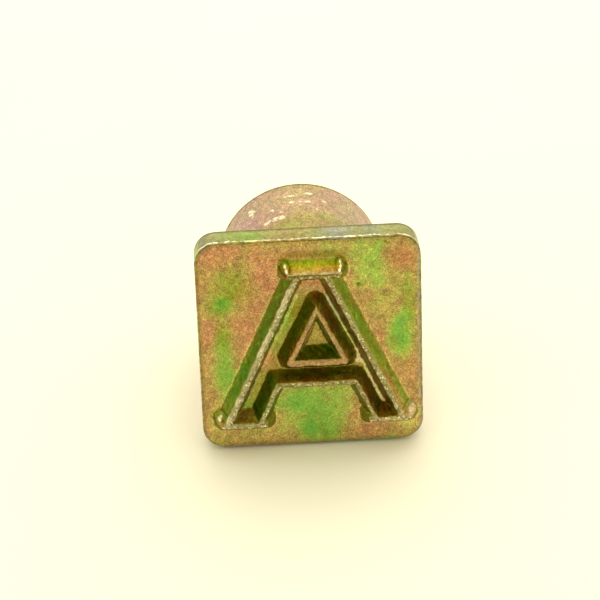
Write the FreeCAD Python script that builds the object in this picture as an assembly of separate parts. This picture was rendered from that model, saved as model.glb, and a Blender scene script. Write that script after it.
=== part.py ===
import FreeCAD, Part
import math
import os

# Interchangeable letter stamp for leather: square head with a raised outline
# letter, turned shank sleeve with a handle socket, cross pin, strike disc and
# a split retaining ring.  Millimetres.
#
# The stamp is laid out on its own tool axis first (face plane at Y = 0, face
# looking along -Y, shank running along +Y, letter upright along +Z) and is
# then tipped and lifted so that it lies on its side on the plane Z = 0.

# ---------------------------------------------------------------- dimensions
head_w = 22.2            # head plate, square
head_t = 3.5             # plate thickness behind the face
corner_r = 2.2           # plate corner radius
front_edge_r = 0.30      # softened front edge of the plate
rear_edge_r = 0.25       # softened rear edge of the plate

relief_h = 1.8           # height of the letter's ridges above the face
crest_w = 0.56           # width of the flat crest
run_out = 0.92           # horizontal run of a normal slope
run_leg_in = 0.66        # steeper slope on the inner side of the two legs

shank_r = 8.7            # shank outside radius
shank_l = 18.2           # shank length behind the plate
shank_chamfer = 0.5      # outer chamfer at the shank's rear rim
mouth_chamfer = 0.4      # chamfer at the socket's mouth

socket_r = 4.8           # through bore of the sleeve, takes a 9.5 mm handle
spigot_l = 6.0           # head spigot inside the front of the sleeve
pin_r = 1.25             # cross pin
pin_back = 2.6           # pin axis behind the plate's rear face
pin_l = 17.2
disc_r = 4.0             # hardened disc let into the spigot's end
disc_t = 1.5

ring_wire_r = 0.50       # retaining ring, round spring wire
ring_mid_r = 5.0         # radius of the wire's centre line
ring_gap_deg = 16.0      # split in the ring
groove_r = 5.55          # groove floor radius in the sleeve
groove_w = 1.10
groove_back = 1.05       # groove centre behind the spigot's end

y_rear_plate = head_t
y_rear = head_t + shank_l
y_spigot_end = head_t + spigot_l
y_groove = y_spigot_end + groove_back

# ------------------------------------------------- the letter's ridge network
# Crest centre lines on the face, (x, z).  The left stroke is the broad one and
# the right stroke the slim one, because a stamp is the mirror of its print.
z_top = 8.00
z_foot = -8.00
z_bar = -3.70
serif = ((-1.92, z_top), (2.77, z_top))
leg_left = ((-1.17, z_top), (-8.58, z_foot))
leg_right = ((1.72, z_top), (9.00, z_foot))
foot_left = ((-8.97, z_foot), (-4.83, z_foot))
foot_right = ((5.83, z_foot), (9.47, z_foot))
bar = ((-3.41, z_bar), (4.30, z_bar))
notch_left = ((-3.41, z_bar), (-5.35, z_foot))
notch_right = ((4.30, z_bar), (6.29, z_foot))
tri_a = (0.61, 4.28)
tri_b = (-2.19, -1.35)
tri_c = (3.37, -1.35)

V = FreeCAD.Vector
Y_AXIS = V(0, 1, 0)


def fused(shapes):
    s = shapes[0].multiFuse(shapes[1:])
    return s.removeSplitter()


def only_solid(s):
    return s.Solids[0] if len(s.Solids) == 1 else s


def cyl(r, y0, y1, x=0.0, z=0.0):
    return Part.makeCylinder(r, y1 - y0, V(x, y0, z), Y_AXIS)


def polyhedron(faces):
    made = []
    for pts in faces:
        made.append(Part.Face(Part.makePolygon(list(pts) + [pts[0]])))
    solid = Part.Solid(Part.Shell(made))
    if solid.Volume < 0:
        solid.reverse()
    return solid


def ridge(p, q, run_left=run_out, run_right=run_out, sink=0.4):
    """Straight ridge: flat crest, one sloping side each way, ends square."""
    dx, dz = q[0] - p[0], q[1] - p[1]
    n = math.hypot(dx, dz)
    lx, lz = -dz / n, dx / n                      # left-hand normal
    k = (relief_h + sink) / relief_h
    c = crest_w / 2

    def at(o, side, y):
        return V(o[0] + lx * side, y, o[1] + lz * side)

    yb, yt = sink, -relief_h
    L, R = c + run_left * k, c + run_right * k
    pb = (at(p, L, yb), at(p, -R, yb), at(q, -R, yb), at(q, L, yb))
    pt = (at(p, c, yt), at(p, -c, yt), at(q, -c, yt), at(q, c, yt))
    return polyhedron([
        pb, pt,
        (pb[0], pb[1], pt[1], pt[0]),
        (pb[2], pb[3], pt[3], pt[2]),
        (pb[1], pb[2], pt[2], pt[1]),
        (pb[3], pb[0], pt[0], pt[3]),
    ])


def knob(p, sink=0.4):
    """Round end of a ridge, or the outside of its corner."""
    k = (relief_h + sink) / relief_h
    c = crest_w / 2
    return Part.makeCone(c + run_out * k, c, relief_h + sink,
                         V(p[0], sink, p[1]), V(0, -1, 0))


def pointed_apex(a, b, c, sink=0.4):
    """Sharp outer corner of the crest where the ridges a-b and a-c meet at a."""
    k = (relief_h + sink) / relief_h
    half, run = crest_w / 2, run_out * k
    out = []
    for end in (b, c):
        dx, dz = end[0] - a[0], end[1] - a[1]
        n = math.hypot(dx, dz)
        dx, dz = dx / n, dz / n
        nx, nz = -dz, dx
        other = c if end is b else b
        if nx * (other[0] - a[0]) + nz * (other[1] - a[1]) > 0:
            nx, nz = -nx, -nz
        out.append((dx, dz, nx, nz))
    (d1x, d1z, n1x, n1z), (d2x, d2z, n2x, n2z) = out
    turn = math.acos(max(-1.0, min(1.0, d1x * d2x + d1z * d2z))) / 2
    reach = half / math.sin(turn)
    mx, mz = -(d1x + d2x), -(d1z + d2z)
    m = math.hypot(mx, mz)
    tip_p = (a[0] + mx / m * reach, a[1] + mz / m * reach)
    p1 = (a[0] + n1x * half, a[1] + n1z * half)
    p2 = (a[0] + n2x * half, a[1] + n2z * half)

    def top(p):
        return V(p[0], -relief_h, p[1])

    def low(p, nx=0.0, nz=0.0):
        return V(p[0] + nx * run, sink, p[1] + nz * run)

    t, q1, q2 = top(tip_p), top(p1), top(p2)
    t1, t2 = low(tip_p, n1x, n1z), low(tip_p, n2x, n2z)
    b1, b2 = low(p1, n1x, n1z), low(p2, n2x, n2z)
    c1, c2 = low(p1), low(p2)
    wedge = polyhedron([
        (t, q1, q2), (t, q1, b1, t1), (t, q2, b2, t2), (t, t1, t2),
        (q1, c1, b1), (q2, c2, b2), (q1, q2, c2, c1),
        (t1, t2, b2, c2, c1, b1),
    ])
    cone = Part.makeCone(0.03 + run, 0.03, relief_h + sink,
                         V(tip_p[0], sink, tip_p[1]), V(0, -1, 0))
    return [wedge, cone]


# ------------------------------------------------------------- 1. letter head
h = head_w / 2
r = corner_r
d = r * (1 - math.sqrt(0.5))


def plate():
    pts = {
        "a": V(-h + r, 0, -h), "b": V(h - r, 0, -h), "bc": V(h - d, 0, -h + d),
        "c": V(h, 0, -h + r), "d": V(h, 0, h - r), "de": V(h - d, 0, h - d),
        "e": V(h - r, 0, h), "f": V(-h + r, 0, h), "fg": V(-h + d, 0, h - d),
        "g": V(-h, 0, h - r), "i": V(-h, 0, -h + r), "ia": V(-h + d, 0, -h + d),
    }
    edges = [
        Part.LineSegment(pts["a"], pts["b"]).toShape(),
        Part.Arc(pts["b"], pts["bc"], pts["c"]).toShape(),
        Part.LineSegment(pts["c"], pts["d"]).toShape(),
        Part.Arc(pts["d"], pts["de"], pts["e"]).toShape(),
        Part.LineSegment(pts["e"], pts["f"]).toShape(),
        Part.Arc(pts["f"], pts["fg"], pts["g"]).toShape(),
        Part.LineSegment(pts["g"], pts["i"]).toShape(),
        Part.Arc(pts["i"], pts["ia"], pts["a"]).toShape(),
    ]
    body = Part.Face(Part.Wire(edges)).extrude(V(0, head_t, 0))
    front = [e for e in body.Edges if e.BoundBox.YMax < 1e-4]
    rear = [e for e in body.Edges if e.BoundBox.YMin > head_t - 1e-4]
    body = body.makeFillet(front_edge_r, front)
    rear = [e for e in body.Edges if e.BoundBox.YMin > head_t - 1e-4]
    return body.makeFillet(rear_edge_r, rear)


relief = [
    ridge(*serif), knob(serif[0]), knob(serif[1]),
    # travelling down the left leg, its inner side is on the left hand
    ridge(leg_left[0], leg_left[1], run_leg_in, run_out),
    # travelling down the right leg, its inner side is on the right hand
    ridge(leg_right[0], leg_right[1], run_out, run_leg_in),
    ridge(*foot_left), knob(foot_left[0]), knob(foot_left[1]),
    ridge(*foot_right), knob(foot_right[0]), knob(foot_right[1]),
    ridge(*bar), knob(bar[0]), knob(bar[1]),
    ridge(*notch_left), ridge(*notch_right),
    ridge(tri_a, tri_b), ridge(tri_b, tri_c), ridge(tri_c, tri_a),
    knob(tri_a), knob(tri_b), knob(tri_c),
] + pointed_apex(tri_a, tri_b, tri_c)

head = fused([plate()] + relief)
spigot = cyl(socket_r, head_t - 0.5, y_spigot_end)
spigot_end = [e for e in spigot.Edges
              if e.BoundBox.YMin > y_spigot_end - 1e-4]
spigot = spigot.makeChamfer(0.25, spigot_end)
head = fused([head, spigot])
head = head.cut(cyl(disc_r, y_spigot_end - disc_t, y_spigot_end + 1))
y_pin = head_t + pin_back
pin_hole = Part.makeCylinder(pin_r, 2 * shank_r + 4,
                             V(-shank_r - 2, y_pin, 0), V(1, 0, 0))
head = head.cut(pin_hole)

# ------------------------------------------------------------ 2. shank sleeve
profile = [
    (socket_r, y_rear_plate),
    (shank_r, y_rear_plate),
    (shank_r, y_rear - shank_chamfer),
    (shank_r - shank_chamfer, y_rear),
    (socket_r + mouth_chamfer, y_rear),
    (socket_r, y_rear - mouth_chamfer),
    (socket_r, y_groove + groove_w / 2),
    (groove_r, y_groove + groove_w / 2),
    (groove_r, y_groove - groove_w / 2),
    (socket_r, y_groove - groove_w / 2),
]
wire = Part.makePolygon([V(a, b, 0) for a, b in profile + [profile[0]]])
sleeve = Part.Face(wire).revolve(V(0, 0, 0), Y_AXIS, 360)
sleeve = sleeve.cut(pin_hole)

# --------------------------------------------------------------- 3. cross pin
pin = Part.makeCylinder(pin_r, pin_l, V(-pin_l / 2, y_pin, 0), V(1, 0, 0))
pin = pin.makeChamfer(0.25, [e for e in pin.Edges
                             if e.BoundBox.XMax - e.BoundBox.XMin < 1e-4])

# ------------------------------------------------------------- 4. strike disc
disc = cyl(disc_r, y_spigot_end - disc_t, y_spigot_end)
disc = disc.makeChamfer(0.2, [e for e in disc.Edges
                              if e.BoundBox.YMin > y_spigot_end - 1e-4])

# ---------------------------------------------------------- 5. retaining ring
# Round wire bent to an open circle; the split is at the top.
section = Part.Face(Part.Wire(Part.makeCircle(
    ring_wire_r, V(ring_mid_r, y_groove, 0), V(0, 0, 1))))
ring = section.revolve(V(0, 0, 0), Y_AXIS, 360 - ring_gap_deg)
ring.rotate(V(0, 0, 0), Y_AXIS, -90 + ring_gap_deg / 2)

# ------------------------------------- tip the stamp over and lay it on Z = 0
# It rests on the plate's rear bottom edge and on the shank's rear rim, so the
# tip angle follows from those two.


def lows(angle):
    s, c = math.sin(angle), math.cos(angle)
    plate_low = (-s * (head_t - rear_edge_r)
                 + c * (-head_w / 2 + rear_edge_r) - rear_edge_r)
    rim_low = -s * (y_rear - shank_chamfer) - c * shank_r
    return plate_low, rim_low


lo, hi = 0.0, math.radians(20)
for _ in range(60):
    mid = 0.5 * (lo + hi)
    plate_low, rim_low = lows(mid)
    if rim_low > plate_low:
        lo = mid
    else:
        hi = mid
tip = 0.5 * (lo + hi)
lift = -lows(tip)[0]

nodes = {
    "letter_head": head,
    "shank_sleeve": sleeve,
    "cross_pin": pin,
    "strike_disc": disc,
    "retaining_ring": ring,
}

for s in nodes.values():
    s.rotate(V(0, 0, 0), V(1, 0, 0), -math.degrees(tip))
    s.translate(V(0, 0, lift))

# origin: middle of the whole thing's box, on the ground
boxes = []
for s in nodes.values():
    b = s.optimalBoundingBox(True, False)
    boxes.append(b)
y0 = min(b.YMin for b in boxes)
y1 = max(b.YMax for b in boxes)
x0 = min(b.XMin for b in boxes)
x1 = max(b.XMax for b in boxes)
z0 = min(b.ZMin for b in boxes)
z1 = max(b.ZMax for b in boxes)
shift = V(-(x0 + x1) / 2, -(y0 + y1) / 2, -z0)

os.makedirs("parts", exist_ok=True)
for name, s in nodes.items():
    s.translate(shift)
    s = only_solid(s)
    s.exportStep("parts/%s.step" % name)
    b = s.optimalBoundingBox(True, False)
    print("%-15s solids %d valid %s vol %.2f  x %.2f..%.2f y %.2f..%.2f z %.2f..%.2f"
          % (name, len(s.Solids), s.isValid(), s.Volume,
             b.XMin, b.XMax, b.YMin, b.YMax, b.ZMin, b.ZMax))


def placed(x, y, z):
    """A point given on the tool axis layout, in the laid-down frame, in metres."""
    s, c = math.sin(tip), math.cos(tip)
    return ((x + shift.x) / 1000, (y * c + z * s + shift.y) / 1000,
            (-y * s + z * c + lift + shift.z) / 1000)


print("tip angle %.4f deg, axis out of the socket (0, %.6f, %.6f)"
      % (math.degrees(tip), math.cos(tip), -math.sin(tip)))
print("layout origin placed at", placed(0, 0, 0))
print("socket mid wall", placed(0, (y_rear - mouth_chamfer + y_groove + groove_w / 2) / 2, 0),
      "wall length", y_rear - mouth_chamfer - y_groove - groove_w / 2)
print("shank mid wall", placed(0, (y_rear_plate + y_rear - shank_chamfer) / 2, 0),
      "wall length", y_rear - shank_chamfer - y_rear_plate)
print("crest point", placed(0.4, -relief_h, z_top))
print("rear face point", placed(6.6, y_rear, 0))
print("ring centre", placed(0, y_groove, 0))
print("box %.3f x %.3f x %.3f" % (x1 - x0, y1 - y0, z1 - z0))
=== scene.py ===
import bpy
import math
import numpy as np
from mathutils import Matrix, Vector


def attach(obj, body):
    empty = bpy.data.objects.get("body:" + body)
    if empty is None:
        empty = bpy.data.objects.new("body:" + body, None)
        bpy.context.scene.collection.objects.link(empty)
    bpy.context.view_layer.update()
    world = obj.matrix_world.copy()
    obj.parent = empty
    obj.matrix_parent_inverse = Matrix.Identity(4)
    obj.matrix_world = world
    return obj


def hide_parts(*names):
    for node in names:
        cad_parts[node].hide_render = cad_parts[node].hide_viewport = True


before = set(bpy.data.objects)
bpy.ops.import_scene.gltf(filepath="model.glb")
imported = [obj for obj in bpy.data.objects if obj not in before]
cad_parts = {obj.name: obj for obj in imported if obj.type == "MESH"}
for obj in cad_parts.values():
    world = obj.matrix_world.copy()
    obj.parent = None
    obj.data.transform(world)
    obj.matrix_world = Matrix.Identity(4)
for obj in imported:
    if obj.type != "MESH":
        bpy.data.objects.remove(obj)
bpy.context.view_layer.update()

# Interchangeable leather letter stamp, lying on its side on a pale floor.
# Lengths below are millimetres in the tool's own frame: X to the right, Y along
# the shank (face plane at Y = 0, looking along -Y), Z up the letter.  to_row()
# tips and lifts them into the row frame, in metres.
TIP = math.radians(7.6225)
HALF = 11.1             # half the square head
CORNER = 2.2            # its corner radius
THICK = 3.5             # plate thickness
FRONT_R, REAR_R = 0.14, 0.25
RELIEF = 1.8            # height of the ridges
SHANK_R, SHANK_L = 8.7, 18.2
SOCKET_R = 4.8
SPIGOT_END = 9.5
DISC_R, DISC_T = 4.0, 1.5
PIN_R, PIN_Y, PIN_HALF = 1.25, 6.1, 8.6
GROOVE_Y, GROOVE_R, GROOVE_W = 10.55, 5.55, 1.10


def to_row(p):
    p = np.asarray(p, float)
    c, s = math.cos(TIP), math.sin(TIP)
    x, y, z = p[:, 0], p[:, 1], p[:, 2]
    return np.stack([x * 0.001,
                     (y * c + z * s) * 0.001 - 0.009856770,
                     (-y * s + z * c) * 0.001 + 0.011435224], 1)


# ------------------------------------------------------------------- noise
def _hash(ix, iy, iz, seed):
    h = (ix * 374761393 + iy * 668265263 + iz * 1440662683 + seed * 362437) & 0xFFFFFFFF
    h = ((h ^ (h >> 13)) * 1274126177) & 0xFFFFFFFF
    return ((h ^ (h >> 16)) & 0xFFFF) / 32767.5 - 1.0


def noise(p, freq, seed):
    """Smooth lattice noise in -1..1 at points p (n, 3), freq cells per mm."""
    q = np.asarray(p, float) * freq + 1000.0
    i = np.floor(q).astype(np.int64)
    f = q - i
    f = f * f * f * (f * (f * 6 - 15) + 10)
    out = 0.0
    for dx in (0, 1):
        wx = f[:, 0] if dx else 1 - f[:, 0]
        for dy in (0, 1):
            wy = f[:, 1] if dy else 1 - f[:, 1]
            for dz in (0, 1):
                wz = f[:, 2] if dz else 1 - f[:, 2]
                out = out + wx * wy * wz * _hash(i[:, 0] + dx, i[:, 1] + dy, i[:, 2] + dz, seed)
    return out


def fbm(p, freq, seed, octaves=3):
    out, a, n = 0.0, 1.0, 0.0
    for k in range(octaves):
        out = out + a * noise(p, freq * 2 ** k, seed + 17 * k)
        n += a
        a *= 0.55
    return out / n


def smooth(x, a, b):
    t = np.clip((x - a) / (b - a), 0, 1)
    return t * t * (3 - 2 * t)


def smax(a, b, k):
    h = np.clip(0.5 + 0.5 * (a - b) / k, 0, 1)
    return b + (a - b) * h + k * h * (1 - h)


def uv3(u, v, z=0.0):
    return np.stack([u, v, np.full_like(u, z)], 1)


# -------------------------------------------------------- the letter's relief
# start, end, half crest width, run on the left, run on the right, how far the
# crest goes past each end.  Left and right are as seen going from start to end.
STROKES = [
    ((-1.92, 8.00), (2.77, 8.00), 0.25, 0.92, 0.80, 0.24, 0.24),
    ((-1.17, 7.90), (-8.58, -8.00), 0.235, 0.60, 0.95, 0.10, 0.10),
    ((1.72, 7.90), (9.00, -8.00), 0.235, 0.95, 0.78, 0.10, 0.10),
    ((-8.97, -8.00), (-4.83, -8.00), 0.225, 1.10, 0.92, -0.02, 0.20),
    ((5.83, -8.00), (9.47, -8.00), 0.205, 1.10, 0.92, 0.20, -0.02),
    ((-3.41, -3.70), (4.30, -3.70), 0.215, 0.95, 0.70, 0.10, 0.10),
    ((-3.41, -3.70), (-5.35, -8.00), 0.205, 0.70, 1.05, 0.06, 0.06),
    ((4.30, -3.70), (6.29, -8.00), 0.175, 0.95, 0.70, 0.06, 0.06),
]
TRI_OUT = [(-2.58, -1.63), (3.73, -1.63), (0.61, 4.76)]
TRI_IN = [(-1.79, -1.06), (3.00, -1.06), (0.61, 4.04)]
TRI_RUN_IN = [1.00, 0.72, 0.72]
STROKE_AREA = [(-1.17, 8.0), (1.72, 8.0), (9.0, -8.0), (6.29, -8.0), (4.30, -3.70),
               (-3.41, -3.70), (-5.35, -8.0), (-8.58, -8.0)]
NOTCH_AREA = [(-3.41, -3.70), (4.30, -3.70), (6.29, -8.5), (-5.35, -8.5)]


def in_poly(u, v, poly):
    inside = np.zeros(u.shape, bool)
    n = len(poly)
    for i in range(n):
        (x0, y0), (x1, y1) = poly[i], poly[(i + 1) % n]
        if y0 == y1:
            continue
        hit = ((y0 > v) != (y1 > v)) & (u < (x1 - x0) * (v - y0) / (y1 - y0) + x0)
        inside ^= hit
    return inside


def edge_dist(u, v, p, q):
    """Signed distance to the line p-q, positive on its left."""
    dx, dy = q[0] - p[0], q[1] - p[1]
    n = math.hypot(dx, dy)
    return ((u - p[0]) * -dy + (v - p[1]) * dx) / n


def seg_dist(u, v, p, q):
    dx, dy = q[0] - p[0], q[1] - p[1]
    t = np.clip(((u - p[0]) * dx + (v - p[1]) * dy) / (dx * dx + dy * dy), 0, 1)
    return np.hypot(u - p[0] - t * dx, v - p[1] - t * dy)


def relief(u, v, each=None):
    """Height fraction of the ridges at (u, v), 0 on the face and 1 on a crest.
    A list passed as each gets the value of every crest on its own, in CRESTS order."""
    p3 = uv3(u, v)
    rag = 0.055 * fbm(p3, 1.2, 11, 2) + 0.050 * noise(p3, 3.6, 23)
    best = np.full(u.shape, -9.0)
    for p, q, c, left, right, past0, past1 in STROKES:
        dx, dy = q[0] - p[0], q[1] - p[1]
        n = math.hypot(dx, dy)
        t = ((u - p[0]) * dx + (v - p[1]) * dy) / n
        d = ((u - p[0]) * -dy + (v - p[1]) * dx) / n
        over = np.maximum(np.maximum(-t - past0, t - n - past1), 0)
        side = np.abs(d)
        run = np.where(d > 0, left, right)
        lat = np.maximum(side - c + rag, 0) / run
        # round ends where the crest stops short, square ones elsewhere
        end0 = past0 < 0
        end1 = past1 < 0
        is_round = (end0 & (t < 0)) | (end1 & (t > n))
        lon = np.where(is_round, 0, over + rag * (over > 0)) / 0.92
        s_sq = 1 - np.hypot(lat, np.maximum(lon, 0))
        far = np.hypot(side, over)
        s_rd = 1 - np.maximum(far - c + rag, 0) / (0.92 * (1 - np.clip(side / np.maximum(far, 1e-6), 0, 1)) + run * np.clip(side / np.maximum(far, 1e-6), 0, 1))
        s = np.where(is_round, s_rd, s_sq)
        if each is not None:
            each.append(s)
        best = smax(best, s, 0.05)
    # triangle: a mitred ring between two triangles, rounded at its lower corners
    rc = 0.28
    e = [edge_dist(u, v, TRI_OUT[i], TRI_OUT[(i + 1) % 3]) for i in range(3)]
    small = []
    for i in range(3):
        a, b, d = TRI_OUT[i - 1], TRI_OUT[i], TRI_OUT[(i + 1) % 3]
        v1 = Vector((a[0] - b[0], a[1] - b[1])).normalized()
        v2 = Vector((d[0] - b[0], d[1] - b[1])).normalized()
        half = math.acos(max(-1, min(1, v1.dot(v2)))) / 2
        m = (v1 + v2).normalized() * (rc / math.sin(half))
        small.append((b[0] + m.x, b[1] + m.y))
    out = np.minimum.reduce([seg_dist(u, v, small[i], small[(i + 1) % 3]) for i in range(3)])
    inside_small = in_poly(u, v, small)
    d_round = np.where(inside_small, -rc - out, out - rc)
    sharp = np.minimum.reduce([seg_dist(u, v, TRI_OUT[i], TRI_OUT[(i + 1) % 3]) for i in range(3)])
    d_sharp = np.where(in_poly(u, v, TRI_OUT), -sharp, sharp)
    d_out = np.where(v > 2.0, d_sharp, d_round)
    s_out = 1 - np.maximum(d_out + rag, 0) / 1.0
    inner = [edge_dist(u, v, TRI_IN[i], TRI_IN[(i + 1) % 3]) + rag for i in range(3)]
    s_in = np.maximum.reduce([1 - np.maximum(inner[i], 0) / TRI_RUN_IN[i] for i in range(3)])
    hole = in_poly(u, v, TRI_IN)
    s = np.where(hole, np.minimum(s_in, 1), s_out)
    if each is not None:
        for i in range(3):
            side = 1 - seg_dist(u, v, TRI_OUT[i], TRI_OUT[(i + 1) % 3]) / 1.0
            each.append(np.where(hole, 1 - np.maximum(inner[i], 0) / TRI_RUN_IN[i], side))
    best = smax(best, s, 0.05)
    return best


PITS = [(4.87, 6.2, 0.16, 0.13), (-9.13, -7.50, 0.14, 0.14), (7.62, 10.57, 0.13, 0.10), (-4.91, 9.51, 0.14, 0.09),
        (7.8, 4.85, 0.10, 0.05), (9.08, -0.2, 0.10, 0.07), (-6.9, 7.7, 0.09, 0.05),
        (-9.5, 6.1, 0.10, 0.05), (6.3, 8.1, 0.08, 0.05), (-1.6, -6.6, 0.09, 0.05),
        (2.1, -5.6, 0.08, 0.05), (-8.8, 4.9, 0.10, 0.05), (8.3, 7.2, 0.08, 0.04),
        (-7.6, -1.3, 0.08, 0.04), (0.9, -9.2, 0.09, 0.05)]
# small worn beads at the ends of the serif and the feet: u, v, radius, height, and how strongly each gets a painted
# highlight
BEADS = [(-2.32, 8.74, 0.13, 0.14, 1.0), (-2.22, 8.43, 0.15, 0.15, 1.0), (3.12, 8.92, 0.11, 0.12, 1.0),
         (3.14, 8.66, 0.11, 0.12, 1.0), (2.99, 8.42, 0.12, 0.12, 1.0), (3.15, 8.15, 0.12, 0.08, 0.8),
         (-9.42, -7.42, 0.18, 0.10, 1.0), (-9.26, -7.22, 0.11, 0.06, 0.9), (9.94, -7.42, 0.40, 0.14, 0.0)]


def rim_dist(u, v):
    """Distance inwards from the plate's rounded outline."""
    k = HALF - CORNER
    x, y = np.maximum(np.abs(u) - k, 0), np.maximum(np.abs(v) - k, 0)
    return CORNER - np.hypot(x, y)


def height(u, v):
    """Height of the face in mm above its plane, and the masks that go with it."""
    p3 = uv3(u, v)
    s = relief(u, v)
    cut = -smax(-s, -np.ones_like(s), 0.045)         # rounded break at the crest
    lift = smax(cut, np.zeros_like(s), 0.05)         # rounded foot of the slope
    h = RELIEF * lift
    on_crest = smooth(s, 0.955, 1.015)
    on_face = 1 - smooth(s, -0.02, 0.05)
    # worn, stippled crest
    h += on_crest * (0.024 * noise(p3, 2.3, 29) + 0.018 * noise(p3, 4.7, 31) - 0.012)
    # the serif's upper edge is rolled over into a thin ridge with a furrow behind it; the ridge later gets wear and a
    # painted highlight, the furrow painted shade
    on_serif = smooth(u, -2.2, -1.9) * (1 - smooth(u, 2.75, 3.05))
    roll = np.exp(-((v - 8.235 - 0.035 * noise(p3, 1.7, 33)) / 0.060) ** 2) * on_serif
    groove = np.exp(-((v - 8.085 - 0.035 * noise(p3, 1.7, 33)) / 0.065) ** 2) * on_serif
    h += 0.060 * roll - 0.055 * groove
    # cast and plated skin: slow waves, orange peel, fine grain
    h += on_face * (0.018 * fbm(p3, 0.30, 41, 2) + 0.008 * noise(p3, 1.4, 43) + 0.006 * noise(p3, 3.4, 47))
    slope = (1 - on_face) * (1 - on_crest)
    h += slope * (0.007 * noise(p3, 1.2, 53) + 0.004 * noise(p3, 3.1, 59))
    # the metal swells gently towards the foot of the outer slopes
    h += on_face * 0.05 * smooth(s, -1.0, 0.0) ** 2
    above = np.exp(-((v - 9.46) / 0.45) ** 2) * smooth(u, -3.4, -2.3) * (1 - smooth(u, 3.1, 4.2))
    h += -0.08 * above * on_face
    for x, y, r, d in PITS:
        h -= d * np.exp(-(((u - x) / r) ** 2 + ((v - y) / (r * 0.9)) ** 2))
    # mask of the beads' wear and painted highlight
    bead_wear_and_glint = np.zeros_like(u)
    for x, y, r, d, glint_strength in BEADS:
        g = np.exp(-((((u - x) / r) ** 2 + ((v - y) / r) ** 2) ** 1.5))
        bead_wear_and_glint = np.maximum(bead_wear_and_glint, glint_strength * g)
        h += d * g
    # the face rolls off towards its edges, least along the top
    d = rim_dist(u, v)
    top = smooth(v, 9.6, 10.7)
    wob = 0.05 * fbm(p3, 0.9, 61, 3)
    h -= 0.16 * (1 - 0.8 * top) * np.clip(1 - (d + wob) / 0.42, 0, 1) ** 2
    furrow = top * np.exp(-((d - 0.17 - 0.6 * wob) / 0.10) ** 2)
    h -= 0.05 * furrow
    return h, s, on_crest, on_face, bead_wear_and_glint, furrow, roll, groove


# --------------------------------------------- where the film's colour changes
# u, v, half width, half height, film (0 teal .. 1 rose), strength
FACE_FILM = [
    (-8.9, 9.8, 2.0, 1.2, 0.88, 0.9), (-6.0, 10.2, 2.0, 0.7, 0.76, 0.7),
    (-7.4, 6.4, 1.7, 2.0, 0.46, 0.8), (-3.4, 9.3, 0.8, 1.3, 0.80, 0.7), (-4.3, 7.6, 0.9, 2.2, 0.84, 0.9),
    (-5.4, 5.0, 0.8, 1.6, 0.78, 0.8), (-6.5, 2.2, 0.9, 1.8, 0.82, 0.8),
    (-8.8, 4.5, 1.0, 1.2, 0.25, 0.9), (-8.8, 4.9, 0.40, 0.40, 0.10, 0.5),
    (-10.2, 1.0, 0.8, 2.2, 0.84, 0.8), (-8.6, 1.2, 0.6, 1.8, 0.45, 0.7),
    (-8.7, -2.7, 1.0, 2.6, 0.27, 0.9), (-8.0, -3.0, 0.4, 0.6, 0.08, 0.5),
    (-10.2, -5.5, 0.9, 1.5, 0.78, 0.8), (-9.5, -9.2, 1.3, 1.0, 0.66, 0.6),
    (-6.6, -10.0, 1.8, 0.6, 0.52, 0.7),
    (-0.8, -6.4, 3.2, 2.3, 0.26, 0.95), (-1.6, -6.6, 0.8, 0.8, 0.20, 0.5),
    (1.3, -7.6, 1.1, 1.0, 0.16, 0.5), (1.0, -9.5, 2.2, 1.4, 0.16, 0.85),
    (-3.3, -8.2, 1.0, 1.0, 0.48, 0.7), (3.0, -6.5, 1.3, 1.9, 0.30, 0.85),
    (4.6, -8.2, 0.9, 1.5, 0.68, 0.9), (6.3, -9.7, 1.8, 0.9, 0.76, 0.8),
    (9.6, -3.6, 1.2, 1.8, 0.76, 0.9), (9.4, -8.9, 0.9, 1.0, 0.54, 0.7), (5.6, 6.0, 0.8, 1.2, 0.47, 0.7),
    (7.7, -4.6, 0.7, 1.2, 0.45, 0.6), (9.0, 0.6, 1.1, 2.3, 0.20, 0.95),
    (7.9, -0.9, 0.8, 0.9, 0.38, 0.6),
    (9.9, 4.3, 0.5, 2.6, 0.34, 0.7), (6.6, 3.6, 1.2, 2.2, 0.60, 0.7),
    (5.6, 4.4, 0.5, 1.6, 0.70, 0.6), (6.2, 8.8, 1.7, 2.3, 0.37, 0.9),
    (9.3, 8.8, 1.4, 1.2, 0.88, 0.9), (1.9, 10.2, 1.6, 0.6, 0.50, 0.6),
    (-1.0, 10.4, 2.0, 0.6, 0.72, 0.6),
]
# floors of the grooves
FLOOR_FILM = [
    (0.3, 7.0, 2.0, 1.2, 0.78, 0.9), (-2.6, 3.6, 0.9, 1.8, 0.40, 0.9),
    (-3.9, 0.8, 0.8, 1.5, 0.42, 0.8), (-4.6, -1.6, 1.0, 1.0, 0.74, 0.9),
    (-5.6, -4.0, 0.8, 1.8, 0.50, 0.8), (-6.6, -6.6, 0.8, 1.0, 0.34, 0.8),
    (3.2, 3.6, 0.8, 2.2, 0.44, 0.9), (5.0, -1.4, 0.9, 1.0, 0.72, 0.8),
    (6.0, -3.6, 0.7, 1.6, 0.52, 0.7), (0.6, 1.0, 1.4, 1.6, 0.58, 0.8),
]
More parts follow.
